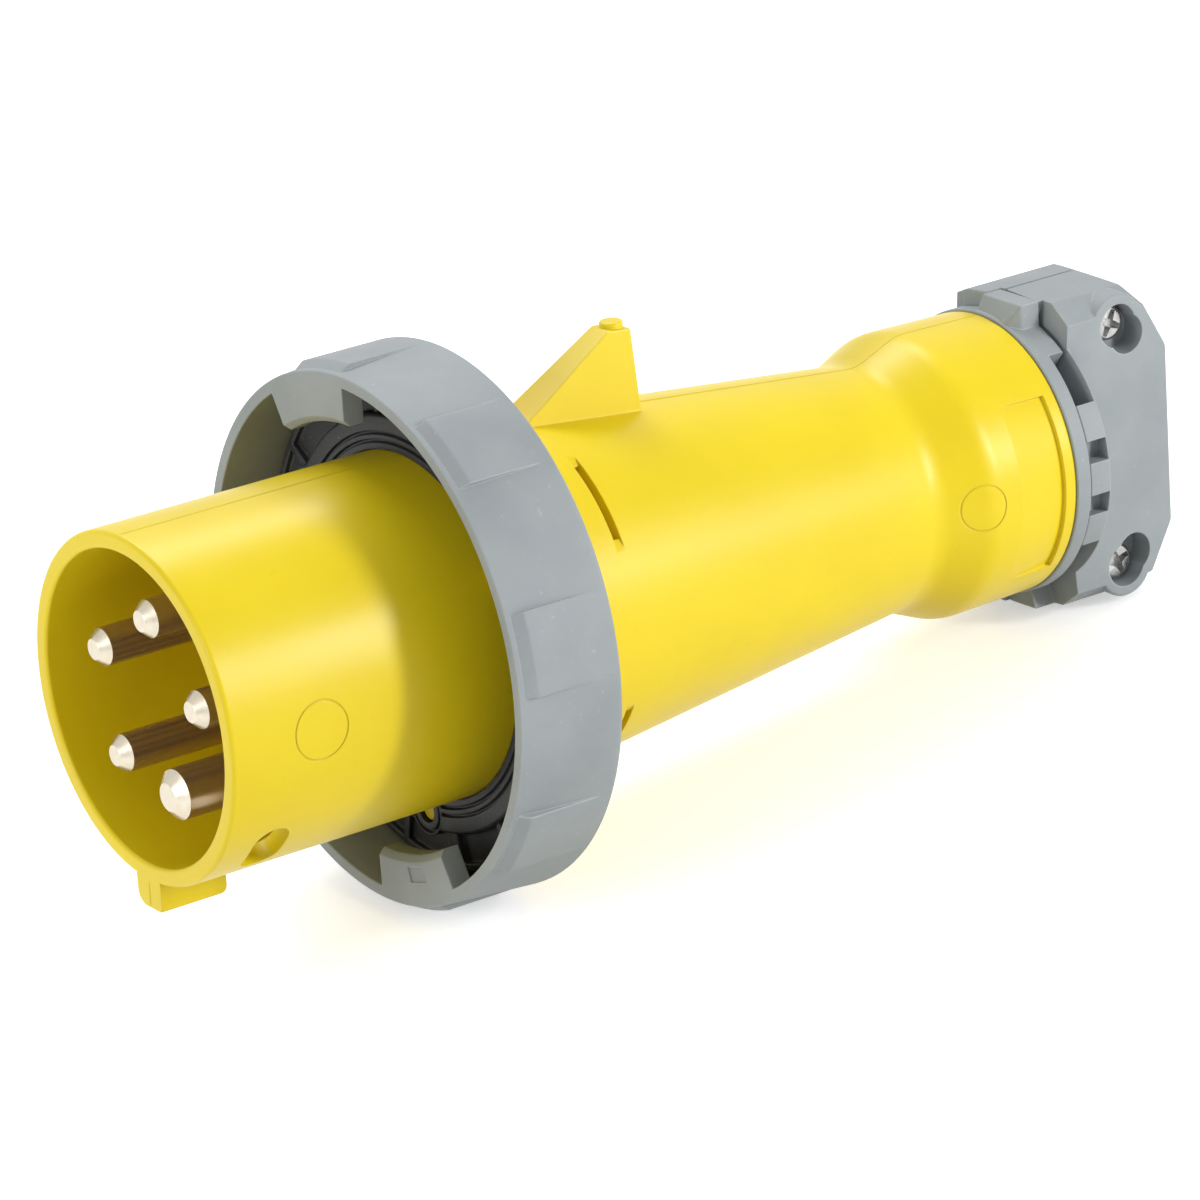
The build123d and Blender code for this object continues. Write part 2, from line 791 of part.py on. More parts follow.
def build_parts():
    parts = {
        "front_sleeve": make_front_sleeve(),
        "locking_ring": make_locking_ring(),
        "face_gasket": make_face_gasket(),
        "body_seal": make_body_seal(),
        "pin_carrier": make_pin_carrier(),
        "rear_body": make_rear_body(),
        "assembly_screws": make_assembly_screws(),
        "cable_grommet": make_cable_grommet(),
        "thrust_washer": make_thrust_washer(),
        "clamp_base": make_clamp_base(),
        "clamp_half_near": make_clamp_half_near(),
        "clamp_half_far": make_clamp_half_far(),
        "clamp_screw_upper": make_clamp_screw(1),
        "clamp_screw_lower": make_clamp_screw(-1),
        "clamp_nuts": make_clamp_nuts(),
    }
    for name, angle, radius, lead in pin_places():
        parts[name] = at_angle(make_pin(radius, lead), angle)
        screw_name = name.replace("pin", "terminal_screw")
        parts[screw_name] = at_angle(make_terminal_screw(radius), angle)
    return {name: solids_of(part) for name, part in parts.items()}


def solids_of(part):
    pieces = part if isinstance(part, list) else [part]
    return [solid for piece in pieces for solid in piece.solids()]


# Laying the plug down: a straight edge touches the widest circle of the ring
# and the lower rear corner of the cable clamp.
def resting_tilt():
    along = clamp_toe_x - (ring_rear - ring_edge_chamfer)
    return degrees(atan2(ring_radius - clamp_half_height, along))


def lay_down(parts):
    turn = Rot(0, resting_tilt(), 0)
    turned_parts = {name: [turn * solid for solid in solids] for name, solids in parts.items()}
    boxes = [solid.bounding_box() for solids in turned_parts.values() for solid in solids]
    middle_x = (min(box.min.X for box in boxes) + max(box.max.X for box in boxes)) / 2
    middle_y = (min(box.min.Y for box in boxes) + max(box.max.Y for box in boxes)) / 2
    shift = Pos(-middle_x, -middle_y, -min(box.min.Z for box in boxes))
    return {name: [shift * solid for solid in solids] for name, solids in turned_parts.items()}


os.makedirs("parts", exist_ok=True)
for part_name, part_solids in lay_down(build_parts()).items():
    shape = part_solids[0] if len(part_solids) == 1 else Compound(part_solids)
    export_step(shape, f"parts/{part_name}.step")
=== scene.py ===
import json
import math
import time

import bmesh
import bpy
from mathutils import Matrix, Vector


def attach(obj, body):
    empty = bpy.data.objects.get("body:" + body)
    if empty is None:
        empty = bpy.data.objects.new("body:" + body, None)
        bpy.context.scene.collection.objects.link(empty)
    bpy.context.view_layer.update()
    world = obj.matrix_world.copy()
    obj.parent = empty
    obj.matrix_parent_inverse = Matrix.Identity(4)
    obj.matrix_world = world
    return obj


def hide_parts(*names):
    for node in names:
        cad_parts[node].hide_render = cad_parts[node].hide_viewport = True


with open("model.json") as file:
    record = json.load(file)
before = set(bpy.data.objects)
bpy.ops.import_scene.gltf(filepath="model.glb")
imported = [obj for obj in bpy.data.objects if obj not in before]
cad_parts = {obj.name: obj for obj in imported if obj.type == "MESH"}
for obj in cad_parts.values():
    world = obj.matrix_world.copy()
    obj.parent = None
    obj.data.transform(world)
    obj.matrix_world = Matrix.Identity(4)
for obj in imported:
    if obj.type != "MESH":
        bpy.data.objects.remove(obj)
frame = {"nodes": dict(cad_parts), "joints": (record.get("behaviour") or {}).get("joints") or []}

started = time.time()
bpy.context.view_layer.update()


def stageDone(label):
    print(f"{label} ready after {time.time() - started:.1f} s")


# Sizes are millimetres along the plug's own axis, x from the mouth to the cable end and z through the fin.
# Angles turn about that axis from the fin's side towards the camera's side.
# Cutters reach 1 or 2 mm past what they cut, so that no two faces lie in one plane.
joint = frame["joints"][0]
plugAxis = Vector(joint["axis"])
plugTilt = math.atan2(-plugAxis.z, plugAxis.x)


# Mesh helpers
def newObject(name, mesh):
    item = bpy.data.objects.new(name, mesh)
    bpy.context.scene.collection.objects.link(item)
    return item


def solid(verts, faces, name="work"):
    mesh = bpy.data.meshes.new(name)
    mesh.from_pydata([tuple(v) for v in verts], [], faces)
    bm = bmesh.new()
    bm.from_mesh(mesh)
    bmesh.ops.remove_doubles(bm, verts=bm.verts, dist=1e-4)
    bmesh.ops.dissolve_degenerate(bm, edges=bm.edges, dist=1e-4)
    bmesh.ops.delete(bm, geom=[edge for edge in bm.edges if edge.is_wire], context="EDGES")
    bmesh.ops.recalc_face_normals(bm, faces=bm.faces)
    bm.to_mesh(mesh)
    bm.free()
    return newObject(name, mesh)


def rounded(corners, steps=5):
    points = []
    count = len(corners)
    for index, (x, y, radius) in enumerate(corners):
        here = Vector((x, y))
        back = Vector(corners[index - 1][:2]) - here
        ahead = Vector(corners[(index + 1) % count][:2]) - here
        angle = back.angle(ahead)
        if radius <= 0 or angle > math.pi - 1e-3:
            points.append((x, y))
            continue
        reach = min(radius / math.tan(angle / 2), back.length * 0.49, ahead.length * 0.49)
        arcRadius = reach * math.tan(angle / 2)
        middle = (back.normalized() + ahead.normalized()).normalized()
        centre = here + middle * arcRadius / math.sin(angle / 2)
        first = here + back.normalized() * reach - centre
        last = here + ahead.normalized() * reach - centre
        sweep = first.angle_signed(last)
        for step in range(steps + 1):
            turn = math.atan2(first.y, first.x) - sweep * step / steps
            points.append((centre.x + arcRadius * math.cos(turn), centre.y + arcRadius * math.sin(turn)))
    return points


def onCircle(x, radius, angle):
    turn = math.radians(angle)
    return Vector((x, -radius * math.sin(turn), radius * math.cos(turn)))


def lathe(loop, segments, start=0.0, sweep=360.0):
    whole = sweep >= 359.99
    rows = segments if whole else segments + 1
    verts = [onCircle(x, r, start + sweep * row / segments) for row in range(rows) for x, r in loop]
    size = len(loop)
    faces = []
    for row in range(segments):
        first, second = row * size, ((row + 1) % rows) * size
        for index in range(size):
            after = (index + 1) % size
            faces.append((first + index, first + after, second + after, second + index))
    if not whole:
        faces.append(tuple(range(size)))
        faces.append(tuple((rows - 1) * size + index for index in reversed(range(size))))
    return solid(verts, faces)


def tube(outer, inner, start, end, segments=48, edge=0.0):
    corners = [(start, inner, 0), (start, outer, edge), (end, outer, edge), (end, inner, 0)]
    return lathe(rounded(corners, 3), segments)


def bar(radius, start, end, segments):
    return lathe([(start, 0), (start, radius), (end, radius), (end, 0)], segments)


def prism(outline, low, high, axis):
    places = {"X": lambda a, b, c: (c, a, b), "Y": lambda a, b, c: (a, c, b), "Z": lambda a, b, c: (a, b, c)}
    size = len(outline)
    verts = [places[axis](a, b, depth) for depth in (low, high) for a, b in outline]
    faces = [tuple(range(size)), tuple(reversed(range(size, 2 * size)))]
    faces += [(i, (i + 1) % size, size + (i + 1) % size, size + i) for i in range(size)]
    return solid(verts, faces)


def pearOutline(first, second, steps=64):
    points = []
    for (x, y, radius), (otherX, otherY, otherRadius) in ((first, second), (second, first)):
        for i in range(steps):
            turn = 2 * math.pi * i / steps
            point = (x + radius * math.cos(turn), y + radius * math.sin(turn))
            if math.hypot(point[0] - otherX, point[1] - otherY) > otherRadius:
                points.append(point)
    middleX, middleY = (first[0] + second[0]) / 2, (first[1] + second[1]) / 2
    return sorted(points, key=lambda point: math.atan2(point[1] - middleY, point[0] - middleX))


def box(xSpan, ySpan, zSpan):
    outline = [(xSpan[0], ySpan[0]), (xSpan[1], ySpan[0]), (xSpan[1], ySpan[1]), (xSpan[0], ySpan[1])]
    return prism(outline, zSpan[0], zSpan[1], "Z")


def moved(item, matrix):
    item.data.transform(matrix)
    return item


def turned(item, angle):
    return moved(item, Matrix.Rotation(math.radians(angle), 4, "X"))


def outward(item, radius):
    return moved(item, Matrix.Translation((0, 0, radius)))


def upright(x, z):
    return Matrix.Translation((x, 0, z)) @ Matrix.Rotation(math.radians(-90), 4, "Y")


def sideways(x, z):
    return Matrix.Translation((x, 0, z)) @ Matrix.Rotation(math.radians(90), 4, "Z")


def evaluated(item):
    graph = bpy.context.evaluated_depsgraph_get()
    mesh = bpy.data.meshes.new_from_object(item.evaluated_get(graph), depsgraph=graph)
    item.modifiers.clear()
    old = item.data
    item.data = mesh
    bpy.data.meshes.remove(old)
    return item


def discard(item):
    mesh = item.data
    bpy.data.objects.remove(item)
    bpy.data.meshes.remove(mesh)


def merged(item, reach):
    # Closes what a boolean leaves: doubled points, slivers and gaps of up to four edges.
    bm = bmesh.new()
    bm.from_mesh(item.data)
    bmesh.ops.remove_doubles(bm, verts=bm.verts, dist=reach)
    bmesh.ops.dissolve_degenerate(bm, edges=bm.edges, dist=reach)
    bmesh.ops.holes_fill(bm, edges=[edge for edge in bm.edges if edge.is_boundary], sides=4)
    bm.to_mesh(item.data)
    bm.free()
    return item


def carved(item, operation, others):
    for other in others:
        step = item.modifiers.new(operation, "BOOLEAN")
        step.operation = operation
        step.solver = "EXACT"
        step.object = other
        merged(evaluated(item), 5e-4)
        discard(other)
    return item


def joined(item, *others):
    return carved(item, "UNION", others)


def cut(item, *others):
    return carved(item, "DIFFERENCE", others)


def common(item, *others):
    return carved(item, "INTERSECT", others)


def softened(item, width, angle=35.0, steps=2):
    bevel = item.modifiers.new("soft", "BEVEL")
    bevel.width = width
    bevel.segments = steps
    bevel.limit_method = "ANGLE"
    bevel.angle_limit = math.radians(angle)
    bevel.miter_outer = "MITER_ARC"
    return evaluated(item)


def sector(loop, steps, width, edge, limit):
    # A short turned piece about angle zero, ready to be repeated around the axis.
    return softened(lathe(loop, steps, -width / 2, width), edge, limit)


def discMark(settings, start, length, band):
    # A hairline circle: a thin standing tube, kept only within a band at the skin.
    outer = settings["discRadius"] + settings["markHalf"]
    inner = settings["discRadius"] - settings["markHalf"]
    standing = moved(tube(outer, inner, 0, length, 64), upright(settings["discX"], start))
    return common(turned(standing, settings["discAngle"]), band)


# One copy of a shape is repeated around the plug's axis by this modifier group.
def makeRepeatGroup():
    group = bpy.data.node_groups.new("repeatAround", "GeometryNodeTree")
    group.interface.new_socket("Geometry", in_out="INPUT", socket_type="NodeSocketGeometry")
    for label, kind, value in (("Count", "NodeSocketInt", 8), ("Step", "NodeSocketFloat", 0.5),
                               ("Start", "NodeSocketFloat", 0.0)):
        group.interface.new_socket(label, in_out="INPUT", socket_type=kind).default_value = value
    group.interface.new_socket("Material", in_out="INPUT", socket_type="NodeSocketMaterial")
    group.interface.new_socket("Geometry", in_out="OUTPUT", socket_type="NodeSocketGeometry")
    add = group.nodes.new
    link = group.links.new
    source, result = add("NodeGroupInput"), add("NodeGroupOutput")
    line, instances = add("GeometryNodeMeshLine"), add("GeometryNodeInstanceOnPoints")
    line.inputs["Offset"].default_value = (0.0, 0.0, 0.0)
    index, product, total = add("GeometryNodeInputIndex"), add("ShaderNodeMath"), add("ShaderNodeMath")
    product.operation, total.operation = "MULTIPLY", "ADD"
    turn = add("ShaderNodeCombineXYZ")
    realize, paint = add("GeometryNodeRealizeInstances"), add("GeometryNodeSetMaterial")
    link(source.outputs["Count"], line.inputs["Count"])
    link(line.outputs["Mesh"], instances.inputs["Points"])
    link(source.outputs["Geometry"], instances.inputs["Instance"])
    link(index.outputs[0], product.inputs[0])
    link(source.outputs["Step"], product.inputs[1])
    link(product.outputs[0], total.inputs[0])
    link(source.outputs["Start"], total.inputs[1])
    link(total.outputs[0], turn.inputs["X"])
    link(turn.outputs[0], instances.inputs["Rotation"])
    link(instances.outputs[0], realize.inputs[0])
    link(realize.outputs[0], paint.inputs["Geometry"])
    link(source.outputs["Material"], paint.inputs["Material"])
    link(paint.outputs[0], result.inputs[0])
    return group


repeatGroup = makeRepeatGroup()


def repeated(item, count, step, start=0.0, material=None):
    changer = item.modifiers.new("repeat", "NODES")
    changer.node_group = repeatGroup
    sockets = repeatGroup.interface.items_tree
    names = {socket.name: socket.identifier for socket in sockets if socket.in_out == "INPUT"}
    changer[names["Count"]] = count
    changer[names["Step"]] = math.radians(step)
    changer[names["Start"]] = math.radians(start)
    changer[names["Material"]] = material
    return evaluated(item)


def finished(item, name, material, bodyName, replaced, sharpAngle=33.0):
    item.name = name
    item.data.name = name
    item.data.transform(layDown)
    item.data.materials.clear()
    item.data.materials.append(material)
    for polygon in item.data.polygons:
        polygon.material_index = 0
        polygon.use_smooth = True
    item.data.set_sharp_from_angle(angle=math.radians(sharpAngle))
    weight = item.modifiers.new("weight", "WEIGHTED_NORMAL")
    weight.keep_sharp = True
    evaluated(item)
    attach(item, bodyName)
    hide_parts(*replaced)
    return item


# Material helpers
def addSockets(group, inputs, outputs):
    for label, kind, value in inputs:
        group.interface.new_socket(label, in_out="INPUT", socket_type=kind).default_value = value
    for label, kind in outputs:
        group.interface.new_socket(label, in_out="OUTPUT", socket_type=kind)
    return group.nodes.new("NodeGroupInput"), group.nodes.new("NodeGroupOutput")


def scaled(add, link, value, share):
    product = add("ShaderNodeMath")
    product.operation = "MULTIPLY"
    product.inputs[1].default_value = share
    link(value, product.inputs[0])
    return product.outputs[0]


def ranged(add, link, value, low, high, kind="From"):
    spread = add("ShaderNodeMapRange")
    spread.inputs[kind + " Min"].default_value = low
    spread.inputs[kind + " Max"].default_value = high
    link(value, spread.inputs["Value"])
    return spread.outputs[0]


def mixColour(add, link, fac, first, second):
    mix = add("ShaderNodeMix")
    mix.data_type = "RGBA"
    for label, kind, value in (("Factor", "VALUE", fac), ("A", "RGBA", first), ("B", "RGBA", second)):
        target = [socket for socket in mix.inputs if socket.name == label and socket.type == kind][0]
        if isinstance(value, tuple):
            target.default_value = value
        else:
            link(value, target)
    return [socket for socket in mix.outputs if socket.type == "RGBA"][0]


def makeSkinGroup():
    # Fine moulded skin: broad tone drift, small flecks and a bumped grain.
    group = bpy.data.node_groups.new("mouldedSkin", "ShaderNodeTree")
    inputs = [("Drift Scale", "NodeSocketFloat", 40.0), ("Fleck Scale", "NodeSocketFloat", 900.0),
              ("Grain Scale", "NodeSocketFloat", 2600.0), ("Bump", "NodeSocketFloat", 0.1)]
    outputs = [("Drift", "NodeSocketFloat"), ("Flecks", "NodeSocketFloat"), ("Normal", "NodeSocketVector")]
    source, result = addSockets(group, inputs, outputs)
    add, link = group.nodes.new, group.links.new
    place = add("ShaderNodeTexCoord")
    drift, fleck, grain = add("ShaderNodeTexNoise"), add("ShaderNodeTexNoise"), add("ShaderNodeTexNoise")
    for noise, label, detail in ((drift, "Drift Scale", 4.0), (fleck, "Fleck Scale", 3.0),
                                 (grain, "Grain Scale", 2.0)):
        noise.inputs["Detail"].default_value = detail
        link(place.outputs["Object"], noise.inputs["Vector"])
        link(source.outputs[label], noise.inputs["Scale"])
    blend, bump = add("ShaderNodeMath"), add("ShaderNodeBump")
    blend.operation = "ADD"
    bump.inputs["Distance"].default_value = 0.00012
    link(grain.outputs["Fac"], blend.inputs[0])
    link(drift.outputs["Fac"], blend.inputs[1])
    link(blend.outputs[0], bump.inputs["Height"])
    link(source.outputs["Bump"], bump.inputs["Strength"])
    link(drift.outputs["Fac"], result.inputs["Drift"])
    link(ranged(add, link, fleck.outputs["Fac"], 0.66, 0.78), result.inputs["Flecks"])
    link(bump.outputs[0], result.inputs["Normal"])
    return group


def makeEdgeGroup():
    # Convex edges: where a rounded normal turns away from the flat one. The rounded normal shades them, and
    # the mask is used to paint a highlight along them.
    group = bpy.data.node_groups.new("edgeMask", "ShaderNodeTree")
    inputs = [("Normal", "NodeSocketVector", (0.0, 0.0, 0.0)), ("Low", "NodeSocketFloat", 0.004),
              ("High", "NodeSocketFloat", 0.1)]
    source, result = addSockets(group, inputs, [("Mask", "NodeSocketFloat"), ("Normal", "NodeSocketVector")])
    add, link = group.nodes.new, group.links.new
    soft, flat, dot = add("ShaderNodeBevel"), add("ShaderNodeNewGeometry"), add("ShaderNodeVectorMath")
    turnedBy, spread = add("ShaderNodeMath"), add("ShaderNodeMapRange")
    soft.samples = 4
    soft.inputs["Radius"].default_value = 0.00035
    dot.operation, turnedBy.operation = "DOT_PRODUCT", "SUBTRACT"
    turnedBy.inputs[0].default_value = 1.0
    link(source.outputs["Normal"], soft.inputs["Normal"])
    link(soft.outputs[0], dot.inputs[0])
    link(flat.outputs["Normal"], dot.inputs[1])
    link(dot.outputs["Value"], turnedBy.inputs[1])
    link(turnedBy.outputs[0], spread.inputs["Value"])
    link(source.outputs["Low"], spread.inputs["From Min"])
    link(source.outputs["High"], spread.inputs["From Max"])
    link(spread.outputs[0], result.inputs["Mask"])
    link(soft.outputs[0], result.inputs["Normal"])
    return group


skinGroup = makeSkinGroup()
edgeGroup = makeEdgeGroup()


def mouldedPlastic(name, look):
    material = bpy.data.materials.new(name)
    material.use_nodes = True
    add, link = material.node_tree.nodes.new, material.node_tree.links.new
    shader = material.node_tree.nodes["Principled BSDF"]
    skin, edge = add("ShaderNodeGroup"), add("ShaderNodeGroup")
    skin.node_tree, edge.node_tree = skinGroup, edgeGroup
    for label in ("Drift Scale", "Fleck Scale", "Grain Scale", "Bump"):
        skin.inputs[label].default_value = look[label.split()[0].lower()]
    link(skin.outputs["Normal"], edge.inputs["Normal"])
    tone = ranged(add, link, skin.outputs["Drift"], 0.35, 0.65)
    base = mixColour(add, link, tone, look["dark"], look["colour"])
    flecked = scaled(add, link, skin.outputs["Flecks"], look["spotShare"])
    spotted = mixColour(add, link, flecked, base, look["spot"])
    # Painted highlight: convex edges are lightened towards a pale colour by the edge mask.
    paintedEdgeHighlight = scaled(add, link, edge.outputs["Mask"], look["edgeHighlightShare"])
    link(mixColour(add, link, paintedEdgeHighlight, spotted, look["edgeHighlightColour"]), shader.inputs["Base Color"])
    link(ranged(add, link, skin.outputs["Drift"], *look["rough"], "To"), shader.inputs["Roughness"])
    link(edge.outputs["Normal"], shader.inputs["Normal"])
    shader.inputs["IOR"].default_value = look["ior"]
    return material


def plainMetal(name, look):
    material = bpy.data.materials.new(name)
    material.use_nodes = True
    add, link = material.node_tree.nodes.new, material.node_tree.links.new
    shader = material.node_tree.nodes["Principled BSDF"]
    shader.inputs["Metallic"].default_value = look["metallic"]
    place, stretch = add("ShaderNodeTexCoord"), add("ShaderNodeMapping")
    noise, bump = add("ShaderNodeTexNoise"), add("ShaderNodeBump")
    stretch.inputs["Rotation"].default_value = (0.0, -plugTilt, 0.0)
    stretch.inputs["Scale"].default_value = look["streak"]
    noise.inputs["Scale"].default_value = 1.0
    noise.inputs["Detail"].default_value = 5.0
    link(place.outputs["Object"], stretch.inputs["Vector"])
    link(stretch.outputs[0], noise.inputs["Vector"])
    tone = ranged(add, link, noise.outputs["Fac"], 0.3, 0.7)
    link(mixColour(add, link, tone, look["dull"], look["bright"]), shader.inputs["Base Color"])
    link(ranged(add, link, noise.outputs["Fac"], *look["rough"], "To"), shader.inputs["Roughness"])
    bump.inputs["Strength"].default_value = look["grain"]
    bump.inputs["Distance"].default_value = 0.00005
    link(noise.outputs["Fac"], bump.inputs["Height"])
    link(bump.outputs[0], shader.inputs["Normal"])
    return material


# Each plastic's pale colour and its share are a painted highlight along convex edges; the dark colour and the
# spots are random tone.
yellowPlastic = mouldedPlastic("yellowPlastic", dict(
    colour=(0.76, 0.585, 0.007, 1), dark=(0.72, 0.545, 0.005, 1), edgeHighlightColour=(0.84, 0.7, 0.08, 1),
    spot=(0.62, 0.47, 0.008, 1), spotShare=0.25, edgeHighlightShare=0.35, rough=(0.28, 0.44), ior=1.4,
    drift=35.0, fleck=700.0, grain=1500.0, bump=0.06))
greyPlastic = mouldedPlastic("greyPlastic", dict(
    colour=(0.29, 0.318, 0.328, 1), dark=(0.254, 0.281, 0.292, 1), edgeHighlightColour=(0.5, 0.53, 0.55, 1),
    spot=(0.44, 0.47, 0.49, 1), spotShare=0.35, edgeHighlightShare=0.8, rough=(0.5, 0.66), ior=1.46,
    drift=70.0, fleck=800.0, grain=2600.0, bump=0.22))
blackRubber = mouldedPlastic("blackRubber", dict(
    colour=(0.028, 0.03, 0.034, 1), dark=(0.018, 0.019, 0.022, 1), edgeHighlightColour=(0.07, 0.073, 0.08, 1),
    spot=(0.2, 0.2, 0.21, 1), spotShare=0.6, edgeHighlightShare=0.6, rough=(0.42, 0.62), ior=1.5,
    drift=120.0, fleck=1500.0, grain=3200.0, bump=0.3))
pinShaft = plainMetal("pinShaft", dict(
    bright=(0.48, 0.37, 0.25, 1), dull=(0.45, 0.345, 0.23, 1), rough=(0.26, 0.29), streak=(8.0, 160.0, 160.0),
    metallic=0.85, grain=0.01))
pinTip = plainMetal("pinTip", dict(
    bright=(0.68, 0.62, 0.5, 1), dull=(0.6, 0.54, 0.43, 1), rough=(0.26, 0.4), streak=(900.0, 900.0, 900.0),
    metallic=1.0, grain=0.12))
screwSteel = plainMetal("screwSteel", dict(
    bright=(0.5, 0.5, 0.49, 1), dull=(0.32, 0.32, 0.32, 1), rough=(0.2, 0.36), streak=(1400.0, 400.0, 1400.0),
    metallic=1.0, grain=0.12))
stageDone("materials")


# Front sleeve with its key, oval opening, moulding disc and parting line
sleeve = dict(radius=31.75, bore=28.45, stopBore=26.95, pinFace=46.0, stopEnd=50.0, flangeFront=62.0,
              flangeRear=65.0, flangeRadius=46.1, end=69.8, rimRound=0.8, boreRound=0.7, faceRound=0.4,
              edgeRound=0.3, segments=256, keyWidth=7.6, keyRoot=29.9, keyFoot=36.75, keyLength=13.4,
              keyFarRound=2.6, keyNearRound=0.6, keyRearRound=1.6, keySeamRise=0.06, keySeamHalf=0.15,
              notchAngle=134.6, notchX=10.4, notchLength=12.6, notchWidth=7.3, notchFloor=25.15,
              bossCircle=35.0, bossRadius=2.2, bossRound=0.25, bossFront=58.8, discX=18.0, discAngle=90.0,
              discRadius=5.3, discBand=(8, 28), markHalf=0.14, markDepth=0.14, seamStart=0.9, seamEnd=57.0,
              seamWidth=0.35, seamHeight=0.1, seamRound=0.08)


def buildSleeve():
    s = sleeve
    radius, bore, stop, edge = s["radius"], s["bore"], s["stopBore"], s["edgeRound"]
    front, rear, flange = s["flangeFront"], s["flangeRear"], s["flangeRadius"]
    corners = [(0, bore, s["boreRound"]), (0, radius, s["rimRound"]), (front, radius, edge),
               (front, flange, edge), (rear, flange, edge), (rear, radius, 0), (s["end"], radius, edge),
               (s["end"], bore, 0), (s["stopEnd"], bore, 0), (s["stopEnd"], stop, 0), (s["pinFace"], stop, 0),
               (s["pinFace"], bore, s["faceRound"])]
    item = lathe(rounded(corners), s["segments"])
    half, foot, root, length = s["keyWidth"] / 2, -s["keyFoot"], -s["keyRoot"], s["keyLength"]
    across = rounded([(-half, root, 0), (-half, foot, s["keyNearRound"]), (half, foot, s["keyFarRound"]),
                      (half, root, 0)])
    along = rounded([(0, root, 0), (0, foot, 0), (length, foot, s["keyRearRound"]), (length, root, 0)])
    key = common(prism(across, -1.0, length + 1, "X"), prism(along, -s["keyWidth"], s["keyWidth"], "Y"))
    key = softened(key, edge)
    seamHalf = s["seamWidth"] / 2
    seam = box((s["seamStart"], s["seamEnd"]), (-seamHalf, seamHalf), (radius - 1, radius + s["seamHeight"]))
    keyHalf = s["keySeamHalf"]
    keySeam = box((-s["keySeamRise"], 0.6), (-keyHalf, keyHalf), (foot + 0.5, -radius - 0.4))
    boss = tube(s["bossRadius"], 0.0, s["bossFront"], front + 0.5, 40, s["bossRound"])
    bosses = repeated(outward(boss, s["bossCircle"]), 3, 120, 60)
    item = joined(item, key, softened(seam, s["seamRound"]), keySeam, bosses)
    straight, end = (s["notchLength"] - s["notchWidth"]) / 2, s["notchWidth"] / 2
    turns = [(side, math.radians(angle)) for side in (1, -1) for angle in range(0, 181, 12)]
    outline = [(s["notchX"] + side * end * math.cos(turn), side * straight + side * end * math.sin(turn))
               for side, turn in turns]
    notch = turned(prism(outline, s["notchFloor"], radius + 2, "Z"), s["notchAngle"])
    low, high, under = *s["discBand"], radius - s["markDepth"]
    bandLoop = [(low, under), (low, radius + 1), (high, radius + 1), (high, under)]
    return cut(item, notch, discMark(s, 24.0, 12, lathe(bandLoop, 128, s["discAngle"] - 30, 60)))


# Locking ring with grip pads, bayonet lugs and stop teeth
ring = dict(front=47.3, rear=67.7, bore=46.4, frontRadius=48.6, radius=50.0, lipFront=65.3, lipRadius=40.0,
            rearRound=1.5, lipRound=0.6, edgeRound=0.3, segments=320, padCount=8, padWidth=17.5,
            padCentre=-11.0, padStart=48.1, padChamfer=2.2, padEdge=0.28, lugWidth=29.5, lugCentre=-15.0,
            lugRadius=39.2, lugThickness=4.3, lugChamfer=1.2, lugEdge=0.22, toothWidth=12.0, toothCentre=75.0,
            toothHeight=1.8, toothEdge=0.25, plateAngle=163.5, plateWidth=5.4, plateHeight=2.8,
            plateRadius=42.6, plateDepth=0.35)

# The ring's joint stands in the middle of the ring, so it places the plug on the bench, in metres.
ringMiddle = (ring["front"] + ring["rear"]) / 2
layDown = (Matrix.Translation(Vector(joint["pos_m"]))
           @ Matrix.Rotation(plugTilt, 4, "Y")
           @ Matrix.Diagonal((0.001, 0.001, 0.001, 1.0))
           @ Matrix.Translation((-ringMiddle, 0.0, 0.0)))


def buildRing():
    r = ring
    front, rear, lip, edge = r["front"], r["rear"], r["lipFront"], r["edgeRound"]
    widest, root = rear - r["rearRound"], r["bore"] + 1
    corners = [(front, r["bore"], edge), (front, r["frontRadius"], edge), (widest, r["radius"], 0),
               (rear, r["radius"], r["rearRound"]), (rear, r["lipRadius"], edge), (lip, r["lipRadius"], edge),
               (lip, r["bore"], r["lipRound"])]
    item = lathe(rounded(corners), r["segments"])
    padLoop = [(r["padStart"], root), (r["padStart"], r["frontRadius"]),
               (r["padStart"] + r["padChamfer"], r["radius"]), (widest, r["radius"]), (widest, root)]
    pad = sector(padLoop, 16, r["padWidth"], r["padEdge"], 25)
    pads = repeated(pad, r["padCount"], 360 / r["padCount"], r["padCentre"])
    lugRear = front + r["lugThickness"]
    lug, chamfer = r["lugRadius"], r["lugChamfer"]
    lugLoop = [(front, root), (front, lug + chamfer), (front + chamfer, lug), (lugRear, lug), (lugRear, root)]
    lugs = repeated(sector(lugLoop, 24, r["lugWidth"], r["lugEdge"], 25), 2, 180, r["lugCentre"])
    tip, foot = r["lipRadius"] - r["toothHeight"], r["lipRadius"] + 1
    toothLoop = [(lip, tip), (lip, foot), (rear, foot), (rear, tip)]
    teeth = repeated(sector(toothLoop, 10, r["toothWidth"], r["toothEdge"], 40), 2, 180, r["toothCentre"])
    item = joined(item, pads, lugs, teeth)
    halfWidth, halfHeight = r["plateWidth"] / 2, r["plateHeight"] / 2
    plate = box((front - 1, front + r["plateDepth"]), (-halfWidth, halfWidth),
                (r["plateRadius"] - halfHeight, r["plateRadius"] + halfHeight))
    return cut(item, turned(plate, r["plateAngle"]))


# Rubber face gasket with its grooves, screw eyelets and pocketed rim
gasket = dict(inner=31.85, sealOuter=38.35, outer=45.2, sealFront=58.0, sheetFront=60.0, rear=62.0,
              grooves=(33.4, 34.9), grooveWidth=0.7, grooveDepth=0.8, rimWidth=1.4, ribFront=58.8,
              ribWidth=1.5, ribCount=16, ribEdge=0.25, eyeletAngles=(180.0, 60.0, -60.0), eyeletCircle=35.0,
              eyeletRadius=4.9, eyeletHole=2.4, eyeletRing=3.8, offPlane=0.02, trim=0.03, segments=224)


